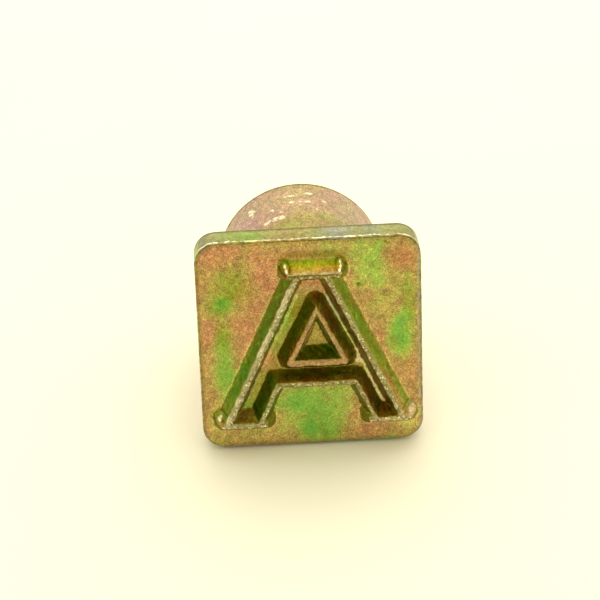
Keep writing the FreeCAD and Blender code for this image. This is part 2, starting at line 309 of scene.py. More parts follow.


# the eleven crests, and how the slope on either side of each looks: film and painted
# shade (above one, painted light), low on the slope, halfway and near the crest
CRESTS = ["serif", "legL", "legR", "footL", "footR", "bar", "notchL", "notchR", "triB", "triR", "triL"]
SLOPES = {("serif", "out"): ((0.42, 0.56, 0.76), (0.86, 0.82, 0.75)),
          ("serif", "in"): ((0.70, 0.60, 0.50), (0.60, 0.55, 0.50)),
          ("legL", "out"): ((0.42, 0.28, 0.40), (0.74, 0.65, 0.50)),
          ("legR", "out"): ((0.46, 0.38, 0.42), (0.96, 0.88, 0.80)),
          ("legL", "in"): ((0.60, 0.58, 0.54), (1.25, 0.98, 0.86)),
          ("legR", "in"): ((0.62, 0.60, 0.60), (0.66, 0.76, 0.72)),
          ("footL", "out"): ((0.46, 0.46, 0.58), (0.74, 0.68, 0.80)),
          ("footR", "out"): ((0.48, 0.48, 0.58), (0.74, 0.68, 0.80)),
          ("footL", "in"): ((0.62, 0.60, 0.64), (0.66, 0.64, 0.54)),
          ("footR", "in"): ((0.68, 0.66, 0.68), (0.36, 0.28, 0.42)),
          ("bar", "in"): ((0.50, 0.45, 0.66), (0.60, 0.36, 0.42)),
          ("bar", "notch"): ((0.42, 0.42, 0.42), (0.70, 0.62, 0.66)),
          ("notchL", "in"): ((0.34, 0.26, 0.30), (0.40, 0.37, 0.48)),
          ("notchR", "in"): ((0.38, 0.46, 0.54), (0.44, 0.48, 0.66)),
          ("notchL", "notch"): ((0.40, 0.42, 0.46), (0.66, 0.58, 0.60)),
          ("notchR", "notch"): ((0.46, 0.46, 0.46), (0.66, 0.58, 0.60)),
          ("triL", "in"): ((0.45, 0.38, 0.56), (0.46, 0.38, 0.40)),
          ("triR", "in"): ((0.45, 0.45, 0.62), (0.76, 0.56, 0.62)),
          ("triB", "in"): ((0.60, 0.60, 0.70), (0.60, 0.50, 0.50)),
          ("triL", "hole"): ((0.66, 0.60, 0.60), (1.75, 1.90, 1.00)),
          ("triR", "hole"): ((0.50, 0.54, 0.60), (0.52, 0.52, 0.72)),
          ("triB", "hole"): ((0.34, 0.34, 0.45), (0.42, 0.28, 0.22))}
# lighter and darker places of the face
FACE_TONE = [(-7.4, 6.4, 1.6, 1.7, 0.76), (-8.6, 1.2, 0.7, 1.6, 0.78), (-8.8, 4.5, 1.0, 1.0, 0.88), (-9.5, -9.2, 1.2, 1.0, 1.14),
             (-3.7, -9.0, 1.4, 1.5, 1.28), (3.6, -7.0, 1.0, 1.8, 1.12), (9.4, -9.0, 1.2, 1.2, 1.34), (9.3, 8.8, 1.2, 1.0, 0.88), (9.9, 4.3, 0.6, 2.2, 0.84),
             (5.6, 8.0, 1.8, 2.4, 1.08), (-4.6, 8.6, 1.6, 1.6, 1.08), (1.6, 10.2, 3.0, 0.5, 1.12)]


def blobs(u, v, start, table):
    f = start.copy()
    for x, y, ru, rv, value, strength in table:
        w = strength * np.exp(-(((u - x) / ru) ** 2 + ((v - y) / rv) ** 2) ** 1.25 * 0.8)
        f += (value - f) * w
    return f


# ------------------------------------------------------------- mesh helpers
def make_object(name, verts, faces, masks=None, in_row=False):
    me = bpy.data.meshes.new(name)
    pts = verts if in_row else to_row(verts)
    me.from_pydata([tuple(p) for p in pts], [], faces)
    me.validate()
    me.shade_smooth()
    for key, values in (masks or {}).items():
        a = me.attributes.new(key, "FLOAT", "POINT")
        a.data.foreach_set("value", np.asarray(values, np.float32))
    me.update()
    ob = bpy.data.objects.new(name, me)
    bpy.context.scene.collection.objects.link(ob)
    return ob


def corner_cells(n_mid, n_corner, half, r):
    a = np.linspace(-half, -half + r, n_corner + 1)
    b = np.linspace(-half + r, half - r, n_mid + 1)
    c = np.linspace(half - r, half, n_corner + 1)
    return np.concatenate([a, b[1:], c[1:]])


def square_to_round(a, b, half, r):
    k = half - r
    x = np.clip((np.abs(a) - k) / r, 0, 1)
    y = np.clip((np.abs(b) - k) / r, 0, 1)
    both = (x > 0) & (y > 0)
    xr = np.where(both, x * np.sqrt(1 - y * y / 2), x)
    yr = np.where(both, y * np.sqrt(1 - x * x / 2), y)
    u = np.where(x > 0, np.sign(a) * (k + r * xr), a)
    v = np.where(y > 0, np.sign(b) * (k + r * yr), b)
    return u, v


def build_head():
    n_corner, n_mid = 22, 216
    half, r = HALF - FRONT_R, CORNER - FRONT_R
    line = corner_cells(n_mid, n_corner, half, r)
    n = len(line)
    A, B = np.meshgrid(line, line, indexing="ij")
    u, v = square_to_round(A.ravel(), B.ravel(), half, r)
    h, s, on_crest, on_face, bead_wear_and_glint, furrow, roll, groove = height(u, v)
    p3 = uv3(u, v)

    idx = np.arange(n * n).reshape(n, n)
    rim = np.concatenate([idx[:-1, 0], idx[-1, :-1], idx[:0:-1, -1], idx[0, :0:-1]])
    # the face melts into the rounded edge
    ru, rv = u[rim], v[rim]
    k = half - r
    nu = np.where(np.abs(ru) > k, ru - np.sign(ru) * k, 0.0)
    nv = np.where(np.abs(rv) > k, rv - np.sign(rv) * k, 0.0)
    nn = np.hypot(nu, nv)
    nu, nv = nu / nn, nv / nn

    verts = [np.stack([u, -h, v], 1)]
    faces = []
    q = idx
    for i in range(n - 1):
        a, b, c, d = q[i, :-1], q[i + 1, :-1], q[i + 1, 1:], q[i, 1:]
        faces += list(zip(a.tolist(), b.tolist(), c.tolist(), d.tolist()))
    part = [np.zeros(n * n)]           # 0 face, 1 side wall, 2 rear face, 3 spigot
    count = n * n
    ring = rim
    rim_y = -h[rim]

    def add_ring(uu, yy, vv, kind):
        nonlocal count
        verts.append(np.stack([uu, yy, vv], 1))
        part.append(np.full(len(uu), kind))
        out = np.arange(count, count + len(uu))
        count += len(uu)
        return out

    def bridge(a, b):
        m = len(a)
        if len(b) == m:
            j = (np.arange(m) + 1) % m
            faces.extend(zip(a.tolist(), b.tolist(), b[j].tolist(), a[j].tolist()))
            return
        w = len(b)
        for i in range(w):             # two fine edges to one coarse edge
            a0, a1, a2 = a[2 * i], a[2 * i + 1], a[(2 * i + 2) % m]
            b0, b1 = b[i], b[(i + 1) % w]
            faces.append((int(a0), int(b0), int(a1)))
            faces.append((int(a1), int(b0), int(b1)))
            faces.append((int(a1), int(b1), int(a2)))

    def edge_noise(uu, yy, vv, nu_, nv_):
        q3 = np.stack([uu, yy, vv], 1)
        amount = 0.020 * fbm(q3, 0.55, 71, 2) + 0.010 * noise(q3, 2.6, 73)
        return amount

    # front edge: a small radius, and along the top a ragged burr rolled on to the side
    fine_u, fine_v, fine_nu, fine_nv = ru, rv, nu, nv
    q3 = uv3(fine_u, fine_v)
    on_top = smooth(fine_nv, 0.05, 0.75) * smooth(fine_v, 8.9, 10.4)
    burr = np.clip(on_top * (0.62 + 0.60 * fbm(q3, 0.8, 79, 3)) * (0.85 + 0.35 * noise(q3, 2.9, 83)), 0, 1.3)
    along = np.interp(fine_u, (-10.6, -7.6, -6.6, -5.0, -0.5, 0.4, 4.0, 5.0, 6.4, 7.2, 10.6), (1, 1, 0.6, 0.42, 0.42, 1, 1, 0.62, 0.62, 1, 1))
    crumbs = smooth(noise(q3, 2.7, 87) + 0.6 * noise(q3, 6.3, 97), -0.75, 0.45)
    burr = np.clip(burr * (0.45 + 0.55 * along) * (0.40 + 0.75 * crumbs), 0, 1.2)
    shift = 0.14 * fbm(q3, 0.8, 85, 2) + 0.045 * noise(q3, 2.9, 99)
    crumbs2 = smooth(noise(q3, 2.2, 251) + 0.5 * noise(q3, 5.2, 253), -0.6, 0.6)
    # per-vertex masks: the burr's wear and painted highlight, and painted shade in the furrow by the top edge, under
    # the burr and along the side and rear outlines
    burr_wear_and_glint = np.zeros(n * n)
    painted_edge_shade = np.zeros(n * n)
    painted_edge_shade[:] = 0.10 * furrow
    burr_wear_and_glint_parts, painted_edge_shade_parts = [burr_wear_and_glint], [painted_edge_shade]
    steps = 4
    for kstep in range(1, steps + 1):
        th = kstep / steps * math.pi / 2
        rough = 0.014 * noise(np.stack([fine_u, fine_v, np.full_like(fine_u, kstep * 0.1)], 1), 3.1, 89)
        off = FRONT_R * math.sin(th) + rough * math.sin(th)
        yy = rim_y * (1 - kstep / steps) + FRONT_R * (1 - math.cos(th)) - rough * 0.6 * math.cos(th)
        new = add_ring(fine_u + fine_nu * off, yy, fine_v + fine_nv * off, 1)
        burr_wear_and_glint_parts.append(np.zeros(len(new)))
        # painted shade: a dark outline on the rounded side edges, and a dark line under the burr along the top
        painted_edge_shade_parts.append((1 - on_top) * smooth(fine_v, -9.9, -8.6) * 0.85 * crumbs2 * smooth(kstep, 0.5, 2.5) + on_top * (0.05 + 0.45 * crumbs2 * smooth(kstep, 1.2, 3.0)))
        bridge(ring, new)
        ring = new

    base_u, base_v = fine_u + fine_nu * FRONT_R, fine_v + fine_nv * FRONT_R

    def wall(bu, bv, bnu, bnv, y, inset=0.0):
        e = edge_noise(bu, np.full_like(bu, y), bv, bnu, bnv)
        off = e - inset
        return bu + bnu * off, np.full_like(bu, y), bv + bnv * off

    for y in (0.20, 0.27, 0.34, 0.41, 0.48, 0.55, 0.63, 0.72, 0.84):
        g = burr * np.exp(-((y - 0.46 - shift) / 0.15) ** 2)
        new = add_ring(*wall(base_u, base_v, fine_nu, fine_nv, y, -0.16 * g), 1)
        # painted highlight along the top of the burr, and painted shadow on the wall just below it
        bright = np.exp(-((y - 0.47 - shift) / 0.125) ** 2)
        burr_wear_and_glint_parts.append(np.clip(on_top * bright * (0.20 + 1.15 * crumbs) * (0.35 + 0.65 * along) * (0.55 + 0.45 * smooth(fbm(q3, 1.1, 291, 2), -0.3, 0.1)), 0, 1))
        painted_edge_shade_parts.append(on_top * np.clip(1.15 * smooth(0.38 + shift - y, 0.0, 0.10) * (0.20 + 0.80 * crumbs2), 0, 1))
        bridge(ring, new)
        ring = new
    bu, bv, bnu, bnv = base_u[::2], base_v[::2], fine_nu[::2], fine_nv[::2]
    for y in np.linspace(1.02, THICK - REAR_R, 9):
        new = add_ring(*wall(bu, bv, bnu, bnv, y), 1)
        burr_wear_and_glint_parts.append(np.zeros(len(bu)))
        # painted shade: the walls darken towards the rear edge
        painted_edge_shade_parts.append(np.full(len(bu), 0.95 * smooth(y, 2.75, 3.20)))
        bridge(ring, new)
        ring = new
    # rear edge, with painted shade as a dark outline
    for kstep in (1, 2, 3, 4):
        th = kstep / 4 * math.pi / 2
        x, _, z = wall(bu, bv, bnu, bnv, THICK - REAR_R, REAR_R * (1 - math.cos(th)))
        new = add_ring(x, np.full_like(x, THICK - REAR_R + REAR_R * math.sin(th)), z, 1 if kstep < 3 else 2)
        burr_wear_and_glint_parts.append(np.zeros(len(x)))
        painted_edge_shade_parts.append(np.full(len(x), 0.95 if kstep < 4 else 0.4))
        bridge(ring, new)
        ring = new
    # rear face: from the square outline in to the spigot's circle
    x0, z0 = x[::2], z[::2]
    ang = np.arctan2(z0, x0)
    rad = SOCKET_R - 0.01
    cx, cz = rad * np.cos(ang), rad * np.sin(ang)
    n_in = 16
    for i in range(1, n_in + 1):
        t = i / n_in
        xx, zz = x0 * (1 - t) + cx * t, z0 * (1 - t) + cz * t
        w3 = np.stack([xx, np.full_like(xx, THICK), zz], 1)
        yy = THICK + (0.010 * fbm(w3, 0.5, 91, 2) + 0.006 * noise(w3, 2.4, 93)) * (1 if i < n_in else 0)
        new = add_ring(xx, yy if i < n_in else np.full_like(xx, THICK), zz, 2)
        burr_wear_and_glint_parts.append(np.zeros(len(xx)))
        painted_edge_shade_parts.append(np.zeros(len(xx)))
        bridge(ring, new)
        ring = new
    # spigot, with the disc's recess in its end
    for y, rr in ((4.5, rad), (5.6, rad), (6.6, rad), (7.6, rad), (8.6, rad), (9.25, rad), (9.42, rad - 0.05),
                  (SPIGOT_END, rad - 0.20), (SPIGOT_END, 4.45), (SPIGOT_END, 4.14), (9.46, 4.06), (9.36, DISC_R + 0.01),
                  (8.7, DISC_R + 0.01), (8.0, DISC_R + 0.01), (8.0, 3.0), (8.0, 2.0), (8.0, 1.0), (8.0, 0.4)):
        xx, zz = rr * np.cos(ang), rr * np.sin(ang)
        new = add_ring(xx, np.full_like(xx, y), zz, 3)
        burr_wear_and_glint_parts.append(np.zeros(len(xx)))
        painted_edge_shade_parts.append(np.zeros(len(xx)))
        bridge(ring, new)
        ring = new
    verts.append(np.array([[0.0, 8.0, 0.0]]))
    part.append(np.array([3.0]))
    burr_wear_and_glint_parts.append(np.zeros(1))
    painted_edge_shade_parts.append(np.zeros(1))
    m = len(ring)
    for i in range(m):
        faces.append((int(ring[i]), count, int(ring[(i + 1) % m])))
    count += 1

    V = np.concatenate(verts)
    part = np.concatenate(part)
    burr_wear_and_glint = np.concatenate(burr_wear_and_glint_parts)
    painted_edge_shade = np.concatenate(painted_edge_shade_parts)
    nf = n * n

    # ---- masks, one value per vertex
    film = np.full(len(V), 0.6)
    shade = np.ones(len(V))
    silver = np.zeros(len(V))
    worn = np.zeros(len(V))
    # face, floors and slopes
    strokes = in_poly(u, v, STROKE_AREA) & ~in_poly(u, v, [(0.61, 4.6), (-2.4, -1.5), (3.6, -1.5)])
    tri_hole = in_poly(u, v, TRI_IN)
    notch = in_poly(u, v, NOTCH_AREA)
    outer = ~strokes & ~tri_hole & ~notch
    face_f = blobs(u, v, np.full_like(u, 0.62) + 0.10 * fbm(p3, 0.22, 101, 2), FACE_FILM)
    floor_f = blobs(u, v, np.full_like(u, 0.55), FLOOR_FILM)
    # the film breaks up into smaller clouds, a little drawn out along the left leg
    lean_u, lean_v = 0.87 * u - 0.50 * v, 0.50 * u + 0.87 * v
    clouds = fbm(uv3(lean_u * 1.5, lean_v * 0.8), 0.70, 303, 3)
    face_f = face_f + 0.10 * clouds
    f = np.where(strokes | tri_hole, floor_f, face_f)
    up = np.clip(s, 0, 1)
    on_slope = smooth(s, 0.0, 0.055) * (1 - smooth(s, 0.93, 1.0))
    left_side = outer & (u < 0.42 * (v - 8) - 0.4) & (v > -8.6)
    right_side = outer & (u > -0.42 * (v - 8) + 0.9) & (v > -8.6)
    names = CRESTS
    each = []
    relief(u, v, each)
    near = np.argmax(each, axis=0)
    # dark holds the slopes' painted shade, and painted light where it goes above one
    slope_f, dark = np.full_like(u, 0.5), np.ones_like(u)
    for place, where in (("out", outer), ("in", strokes), ("hole", tri_hole), ("notch", notch & ~strokes)):
        for i, k in enumerate(names):
            pick = where & (near == i)
            if place == "out" and k in ("notchL", "notchR", "bar"):
                (f0, f1, f2), (t0, t1, t2) = SLOPES[(k, "notch")]
            elif (k, place) in SLOPES:
                (f0, f1, f2), (t0, t1, t2) = SLOPES[(k, place)]
            else:
                continue
            lowmid, midhigh = smooth(up, 0.15, 0.5), smooth(up, 0.5, 0.85)
            slope_f = np.where(pick, f0 + (f1 - f0) * lowmid + (f2 - f1) * midhigh, slope_f)
            dark = np.where(pick, t0 + (t1 - t0) * lowmid + (t2 - t1) * midhigh, dark)
    # painted shade deeper in the pockets at the inner ends of the feet and in the lower notch
    pocket = outer & ((near == names.index("notchL")) | (near == names.index("notchR")) | (near == names.index("footL")) | (near == names.index("footR"))) \
        & (np.abs(u - 0.45) < 6.2) & (v > -8.3)
    pocket = pocket | (notch & ~strokes & (v < -5.9))
    dark = dark * (1 - 0.30 * pocket * smooth(-v, 6.0, 6.8))
    slope_f = slope_f + 0.08 * fbm(p3, 0.45, 107, 2)
    f = f * (1 - on_slope) + slope_f * on_slope
    film[:nf] = f
    worn[:nf] = np.clip(on_crest * (1 - 0.75 * groove) + 0.95 * bead_wear_and_glint + 0.9 * roll, 0, 1)
    shade[:nf] = 1 - on_slope * (1 - dark)
    on_floor = 1 - smooth(s, 0.0, 0.055)
    beside = smooth(s, -1.5, -0.25) * on_face * outer
    left_band = 0.60 * beside * left_side * smooth(v, -3.5, -0.5) * (1 - smooth(v, 7.8, 8.8))
    hug = smooth(s, -0.95, -0.25) * on_face * outer
    right_band = 0.72 * hug * right_side * smooth(v, -4.5, -1.5) * (1 - smooth(v, 8.6, 9.4))
    film[:nf] += (0.82 - film[:nf]) * left_band
    film[:nf] += (0.72 - film[:nf]) * right_band
    by_left = near == names.index("legL")
    # painted shade on the groove floors away from the left leg, strongest a little above the middle and none near the
    # top; the floor beside the left leg gets painted light instead
    shade[:nf] *= 1 - strokes * ~by_left * on_floor * (0.14 + 0.22 * smooth(v, 1.5, 3.5)) * (1 - smooth(v, 4.2, 5.8))
    shade[:nf] *= 1 + 0.22 * strokes * by_left * on_floor * smooth(v, -3.0, -1.0) * (1 - smooth(v, 5.0, 6.2))
    tones = np.ones_like(u)
    for x, y, ru_, rv_, value in FACE_TONE:
        tones *= 1 + (value - 1) * np.exp(-((((u - x) / ru_) ** 2 + ((v - y) / rv_) ** 2) ** 1.2) * 0.8)
    # painted shade on the dip above the serif
    tones *= 1 - 0.26 * np.exp(-((v - 9.42) / 0.42) ** 2) * smooth(u, -3.2, -2.0) * (1 - smooth(u, 2.9, 4.1))
    shade[:nf] *= 1 + (tones - 1) * on_face * (1 - strokes)
    shade[:nf] *= 1 + 0.09 * fbm(p3, 1.1, 307, 3) * on_face
    # painted light on the floor of the narrow channel beside the right leg, which also gets a more silvery and greener
    # film
    strip = strokes & ~tri_hole & (near != names.index("bar")) & (edge_dist(u, v, (1.72, 7.90), (9.00, -8.00)) < 0) & (v < 6.2) \
        & (seg_dist(u, v, (1.72, 7.90), (9.00, -8.00)) < 1.75)
    strip = strip * (1 - smooth(v, 4.9, 5.5))
    shade[:nf] *= 1 + 0.85 * strip * on_floor * smooth(v, -6.9, -6.4)
    silver[:nf] = np.maximum(silver[:nf], strip * on_floor * smooth(v, -6.9, -6.4) * (0.25 + 0.20 * smooth(v, 1.0, 3.0)))
    film[:nf] += (0.38 - film[:nf]) * 0.6 * strip * on_floor * smooth(v, 0.5, 2.5)
    # how each crest has worn
    wear = np.ones_like(u)
    wear = np.where((v > 7.6) & (u > -2.4) & (u < 3.2), 0.80, wear)
    tri_edge = (seg_dist(u, v, (-2.2, -1.35), (3.4, -1.35)) < 0.55) | (seg_dist(u, v, (-2.2, -1.35), (0.61, 4.4)) < 0.55) \
        | (seg_dist(u, v, (3.4, -1.35), (0.61, 4.4)) < 0.55)
    wear = np.where(tri_edge, 0.92, wear)
    worn[:nf] *= 1 - 0.50 * tri_edge
    film[:nf] += (0.80 - film[:nf]) * tri_edge * on_crest
    wear = np.where(seg_dist(u, v, (-3.2, -3.7), (4.1, -3.7)) < 0.5, 0.92, wear)
    wear = np.where(seg_dist(u, v, (6.6, -8.0), (9.6, -8.0)) < 0.6, 1.48, wear)
    wear = np.where((seg_dist(u, v, (-3.5, -4.2), (-5.3, -7.9)) < 0.4) | (seg_dist(u, v, (-8.4, -8.0), (-5.0, -8.0)) < 0.4), 1.12, wear)
    shade[:nf] *= 1 - on_crest * (1 - wear)
    # painted shadow: dark rings round the ends of the feet and of the serif, off the crests
    for x, y, rr, wd, k in ((-9.16, -7.52, 0.80, 0.11, 0.60), (9.62, -7.44, 0.80, 0.10, 0.50), (-2.36, 8.62, 0.52, 0.18, 0.60),
                            (3.16, 8.66, 0.52, 0.17, 0.50)):
        ringd = np.hypot((u - x), (v - y)) - rr
        shade[:nf] *= 1 - k * np.exp(-(ringd / wd) ** 2) * (1 - on_crest)
    # the right foot's end: a peach, worn knob brightened with painted highlight
    knob = np.exp(-((((u - 9.93) ** 2 + (v + 7.40) ** 2) / 0.50 ** 2) ** 1.8))
    neck = np.exp(-((((u - 9.62) / 0.42) ** 2 + ((v + 7.82) / 0.30) ** 2) ** 1.6))
    knob = np.maximum(knob, 0.9 * neck)
    speckle = smooth(noise(p3, 3.6, 301), -0.2, 0.6)
    film[:nf] += (0.70 - film[:nf]) * knob
    worn[:nf] = np.maximum(worn[:nf], (0.45 + 0.45 * speckle) * knob)
    shade[:nf] += (1.55 + 0.35 * speckle - shade[:nf]) * 0.9 * knob
    # the lower end of the right leg's outer slope turns orange towards the crest
    warm = (outer & (near == names.index("legR"))) * on_slope * smooth(s, 0.30, 0.75) * smooth(-v, 1.0, 4.0)
    film[:nf] += (0.74 - film[:nf]) * 0.75 * warm
    shade[:nf] *= 1 + 0.12 * warm
    # painted shade in the furrow behind the serif's rolled edge and on the floor of the triangle's hole
    shade[:nf] *= 1 - 0.6 * groove
    shade[:nf] *= 1 - 0.12 * tri_hole * on_floor
    # painted highlight: a thin light line at the foot of the outer slopes, its film also pulled towards 0.6
    foot_highlight_line = np.exp(-((s + 0.055) / 0.070) ** 2) * ~strokes * ~tri_hole * (0.55 + 0.45 * smooth(noise(p3, 0.9, 271), -0.4, 0.3))
    shade[:nf] *= 1 + 0.42 * foot_highlight_line
    film[:nf] += (0.60 - film[:nf]) * 0.5 * foot_highlight_line
    d_rim = rim_dist(u, v)
    ragged = 0.10 * fbm(p3, 1.4, 247, 3)
    off_top = 1 - smooth(v, 9.6, 10.7)
    # painted shade: a thin ragged dark band along the rolled-off outline, not along the top and fading out at the
    # bottom, and a slight darkening towards the bottom edge
    shade[:nf] *= 1 - (0.50 - 0.46 * smooth(-v, 9.0, 10.4)) * off_top * (1 - smooth(d_rim + ragged, 0.06, 0.24))
    shade[:nf] *= 1 - 0.03 * smooth(-v, 9.8, 10.6) * (1 - smooth(d_rim, 0.30, 0.90))
    tan = smooth(-u, 10.3, 10.6) * (1 - smooth(d_rim + ragged, 0.30, 0.50)) * off_top
    grey_rim = smooth(u, 10.3, 10.6) * (1 - smooth(d_rim + ragged, 0.25, 0.45)) * off_top
    film[:nf] += (0.74 - film[:nf]) * tan
    shade[:nf] *= 1 - 0.24 * tan - 0.12 * grey_rim
    silver[:nf] = np.maximum(silver[:nf], 0.62 * grey_rim + 0.26 * tan)
    for x, y, rr, d in PITS:
        shade[:nf] *= 1 - np.clip(d * 6, 0, 0.75) * np.exp(-(((u - x) / rr) ** 2 + ((v - y) / rr) ** 2) * 0.8)
    worn = np.maximum(worn, np.clip(burr_wear_and_glint, 0, 1) * 0.6)
    # painted shade along the edges
    shade *= 1 - 0.68 * np.clip(painted_edge_shade, 0, 1)
    # painted highlight, near white in the material: the burr, the beads, the serif's rolled edge and a streaky line on
    # the left leg's outer bevel
    painted_glint = np.clip(burr_wear_and_glint, 0, 1)
    streak = smooth(noise(p3, 1.1, 241), -0.3, 0.5)
    bevel = np.exp(-((s - 0.93) / 0.07) ** 2)
    left_bevel_glint = bevel * left_side * (near == names.index("legL")) * (0.25 + 0.60 * streak)
    painted_glint[:nf] = np.clip(smooth(bead_wear_and_glint, 0.15, 0.70) + 0.70 * roll * (0.35 + 0.65 * smooth(noise(p3, 2.4, 243), -0.4, 0.4)) + left_bevel_glint, 0, 1)
    # walls
    walls = part == 1
    W = V[walls]
    wf = 0.55 + 0.30 * fbm(W, 0.16, 111, 2) + 0.12 * fbm(W, 0.6, 113, 2)
    ws = 0.22 + 0.20 * fbm(W, 0.25, 117, 2)
    low = W[:, 2] < -9.5
    shade[walls] *= np.clip(1 + 0.22 * noise(W, 2.4, 255) + 0.16 * noise(W, 4.6, 257) + 0.14 * fbm(W, 0.7, 259, 2), 0.4, 1.6)
    # painted shade: the top side is darkened most, a little less towards the rear; the bottom side and the other sides
    # a little
    shade[walls] *= np.where(W[:, 2] > 10.2, 0.56 + 0.10 * smooth(W[:, 1], 1.0, 2.6), np.where(low, 0.8, 0.85))
    is_top = W[:, 2] > 10.2
    shade[walls] *= 1 - is_top * (0.06 * np.exp(-((W[:, 0] + 8.5) / 1.3) ** 2) + 0.08 * np.exp(-((W[:, 0] - 6.3) / 1.1) ** 2))
    tf = 0.52 + 0.10 * fbm(W, 0.8, 261, 2)
    for x, r_, value, wgt in ((-9.6, 1.6, 0.54, 0.6), (-5.9, 1.8, 0.34, 0.9), (-2.0, 2.2, 0.64, 0.9),
                              (2.6, 1.5, 0.58, 0.8), (8.2, 2.0, 0.54, 0.8)):
        w = wgt * np.exp(-((W[:, 0] - x) / r_) ** 2)
        tf += (value - tf) * w
    ts = np.full(len(W), 0.30)
    for x, r_, value, wgt in ((-10.0, 1.5, 0.55, 0.8), (-5.9, 1.8, 0.12, 0.9), (-1.6, 2.2, 0.20, 0.9),
                              (3.0, 1.7, 0.80, 0.9), (6.4, 1.2, 0.70, 0.8), (9.0, 1.6, 0.35, 0.8)):
        w = wgt * np.exp(-((W[:, 0] - x) / r_) ** 2)
        ts += (value - ts) * w
    tf = tf + 0.14 * (1 - smooth(W[:, 1], 0.35, 0.85))
    film[walls] = np.where(is_top, tf, wf)
    silver[walls] = np.clip(np.where(is_top, ts, ws), 0, 1)
    back = part >= 2
    Bk = V[back]
    film[back] = 0.62 + 0.28 * fbm(Bk, 0.17, 121, 3)
    silver[back] = np.clip(0.12 + 0.25 * fbm(Bk, 0.3, 127, 2), 0, 1)
    rust = np.zeros(len(V))
    inner_slope = on_slope * strokes * (near != names.index("legL"))
    rust[:nf] = 0.30 * inner_slope * smooth(fbm(p3, 0.45, 281, 3), 0.02, 0.36) * (near != names.index("notchL"))
    arch = np.exp(-(((u - 0.66) / 0.62) ** 2 + ((v - 5.42) / 0.36) ** 2) ** 1.2)
    rust[:nf] = np.maximum(rust[:nf], 0.90 * arch * on_slope)
    shade[:nf] *= 1 + 0.10 * arch
    shade[:nf] *= 1 - 0.35 * np.exp(-(((u - 0.62) / 0.30) ** 2 + ((v - 4.98) / 0.22) ** 2)) * on_slope
    gold = np.zeros(len(V))
    over = outer & (near == names.index("serif")) & (v > 8.2)
    gold[:nf] = np.maximum(over * smooth(s, 0.02, 0.16) * (1 - smooth(s, 0.45, 0.95)), 0.30 * over * smooth(s, -0.3, 0.05))
    gold[:nf] = np.maximum(gold[:nf], 0.25 * pocket * on_slope)
    gold[:nf] = np.maximum(gold[:nf], 0.35 * (outer & (near == names.index("legR"))) * on_slope)
    masks = {"film": np.clip(film, 0, 1), "shade": shade, "silver": silver, "worn": worn, "painted_glint": painted_glint, "gold": gold, "rust": rust}
    ob = make_object("stamp_head", V, faces, masks)
    fix_normals(ob)
    return ob


def lathe(profile, segments, axis="Y", wobble=None, phase=0.0):
    """Closed ring of (along, radius) points turned round the axis."""
    prof = np.array(profile, float)
    m = len(prof)
    a = np.arange(segments) / segments * 2 * math.pi + phase
    along = np.repeat(prof[:, 0], segments)
    rad = np.repeat(prof[:, 1], segments)
    ang = np.tile(a, m)
    P = np.stack([rad * np.cos(ang), along, rad * np.sin(ang)], 1)
    if wobble is not None:
        dr, dy = wobble(P, ang, along, rad)
        rad = rad + dr
        along = along + dy
        P = np.stack([rad * np.cos(ang), along, rad * np.sin(ang)], 1)
    if axis == "X":
        P = P[:, [1, 0, 2]]
    faces = []
    seg = np.arange(segments)
    nxt = (seg + 1) % segments
    for i in range(m):
        j = (i + 1) % m
        a0, a1 = i * segments + seg, i * segments + nxt
        b0, b1 = j * segments + seg, j * segments + nxt
        faces += list(zip(a0.tolist(), a1.tolist(), b1.tolist(), b0.tolist()))
    return P, faces, ang, along, rad


def lathe_capped(profile, segments, axis="Y", wobble=None):
    """Profile open at both ends on the axis, closed there with a point each."""
    prof = np.array(profile, float)
    m = len(prof)
    a = np.arange(segments) / segments * 2 * math.pi
    along = np.repeat(prof[:, 0], segments)
    rad = np.repeat(prof[:, 1], segments)
    ang = np.tile(a, m)
    P = np.stack([rad * np.cos(ang), along, rad * np.sin(ang)], 1)
    if wobble is not None:
        dr, dy = wobble(P, ang, along, rad)
        P = np.stack([(rad + dr) * np.cos(ang), along + dy, (rad + dr) * np.sin(ang)], 1)
    first = P[:segments, 1].mean()
    last = P[-segments:, 1].mean()
    P = np.concatenate([P, [[0, first, 0]], [[0, last, 0]]])
    if axis == "X":
        P = P[:, [1, 0, 2]]
    faces = []
    seg = np.arange(segments)
    nxt = (seg + 1) % segments
    for i in range(m - 1):
        a0, a1 = i * segments + seg, i * segments + nxt
        b0, b1 = (i + 1) * segments + seg, (i + 1) * segments + nxt
        faces += list(zip(a0.tolist(), a1.tolist(), b1.tolist(), b0.tolist()))
    c0, c1 = len(P) - 2, len(P) - 1
    lastrow = (m - 1) * segments
    for i in range(segments):
        faces.append((int(nxt[i]), int(seg[i]), c0))
        faces.append((int(lastrow + seg[i]), int(lastrow + nxt[i]), c1))
    return P, faces


def fix_normals(ob):
    import bmesh
    bm = bmesh.new()
    bm.from_mesh(ob.data)
    bmesh.ops.recalc_face_normals(bm, faces=bm.faces)
    bm.to_mesh(ob.data)
    bm.free()
    ob.data.update()


def tidy(mesh):
    """Weld what a cut left closer than a thousandth of a millimetre, and split its many-sided faces."""
    import bmesh
    bm = bmesh.new()
    bm.from_mesh(mesh)
    bmesh.ops.remove_doubles(bm, verts=bm.verts, dist=1e-6)
    bmesh.ops.triangulate(bm, faces=[f for f in bm.faces if len(f.verts) > 4])
    bm.to_mesh(mesh)
    bm.free()
    mesh.update()


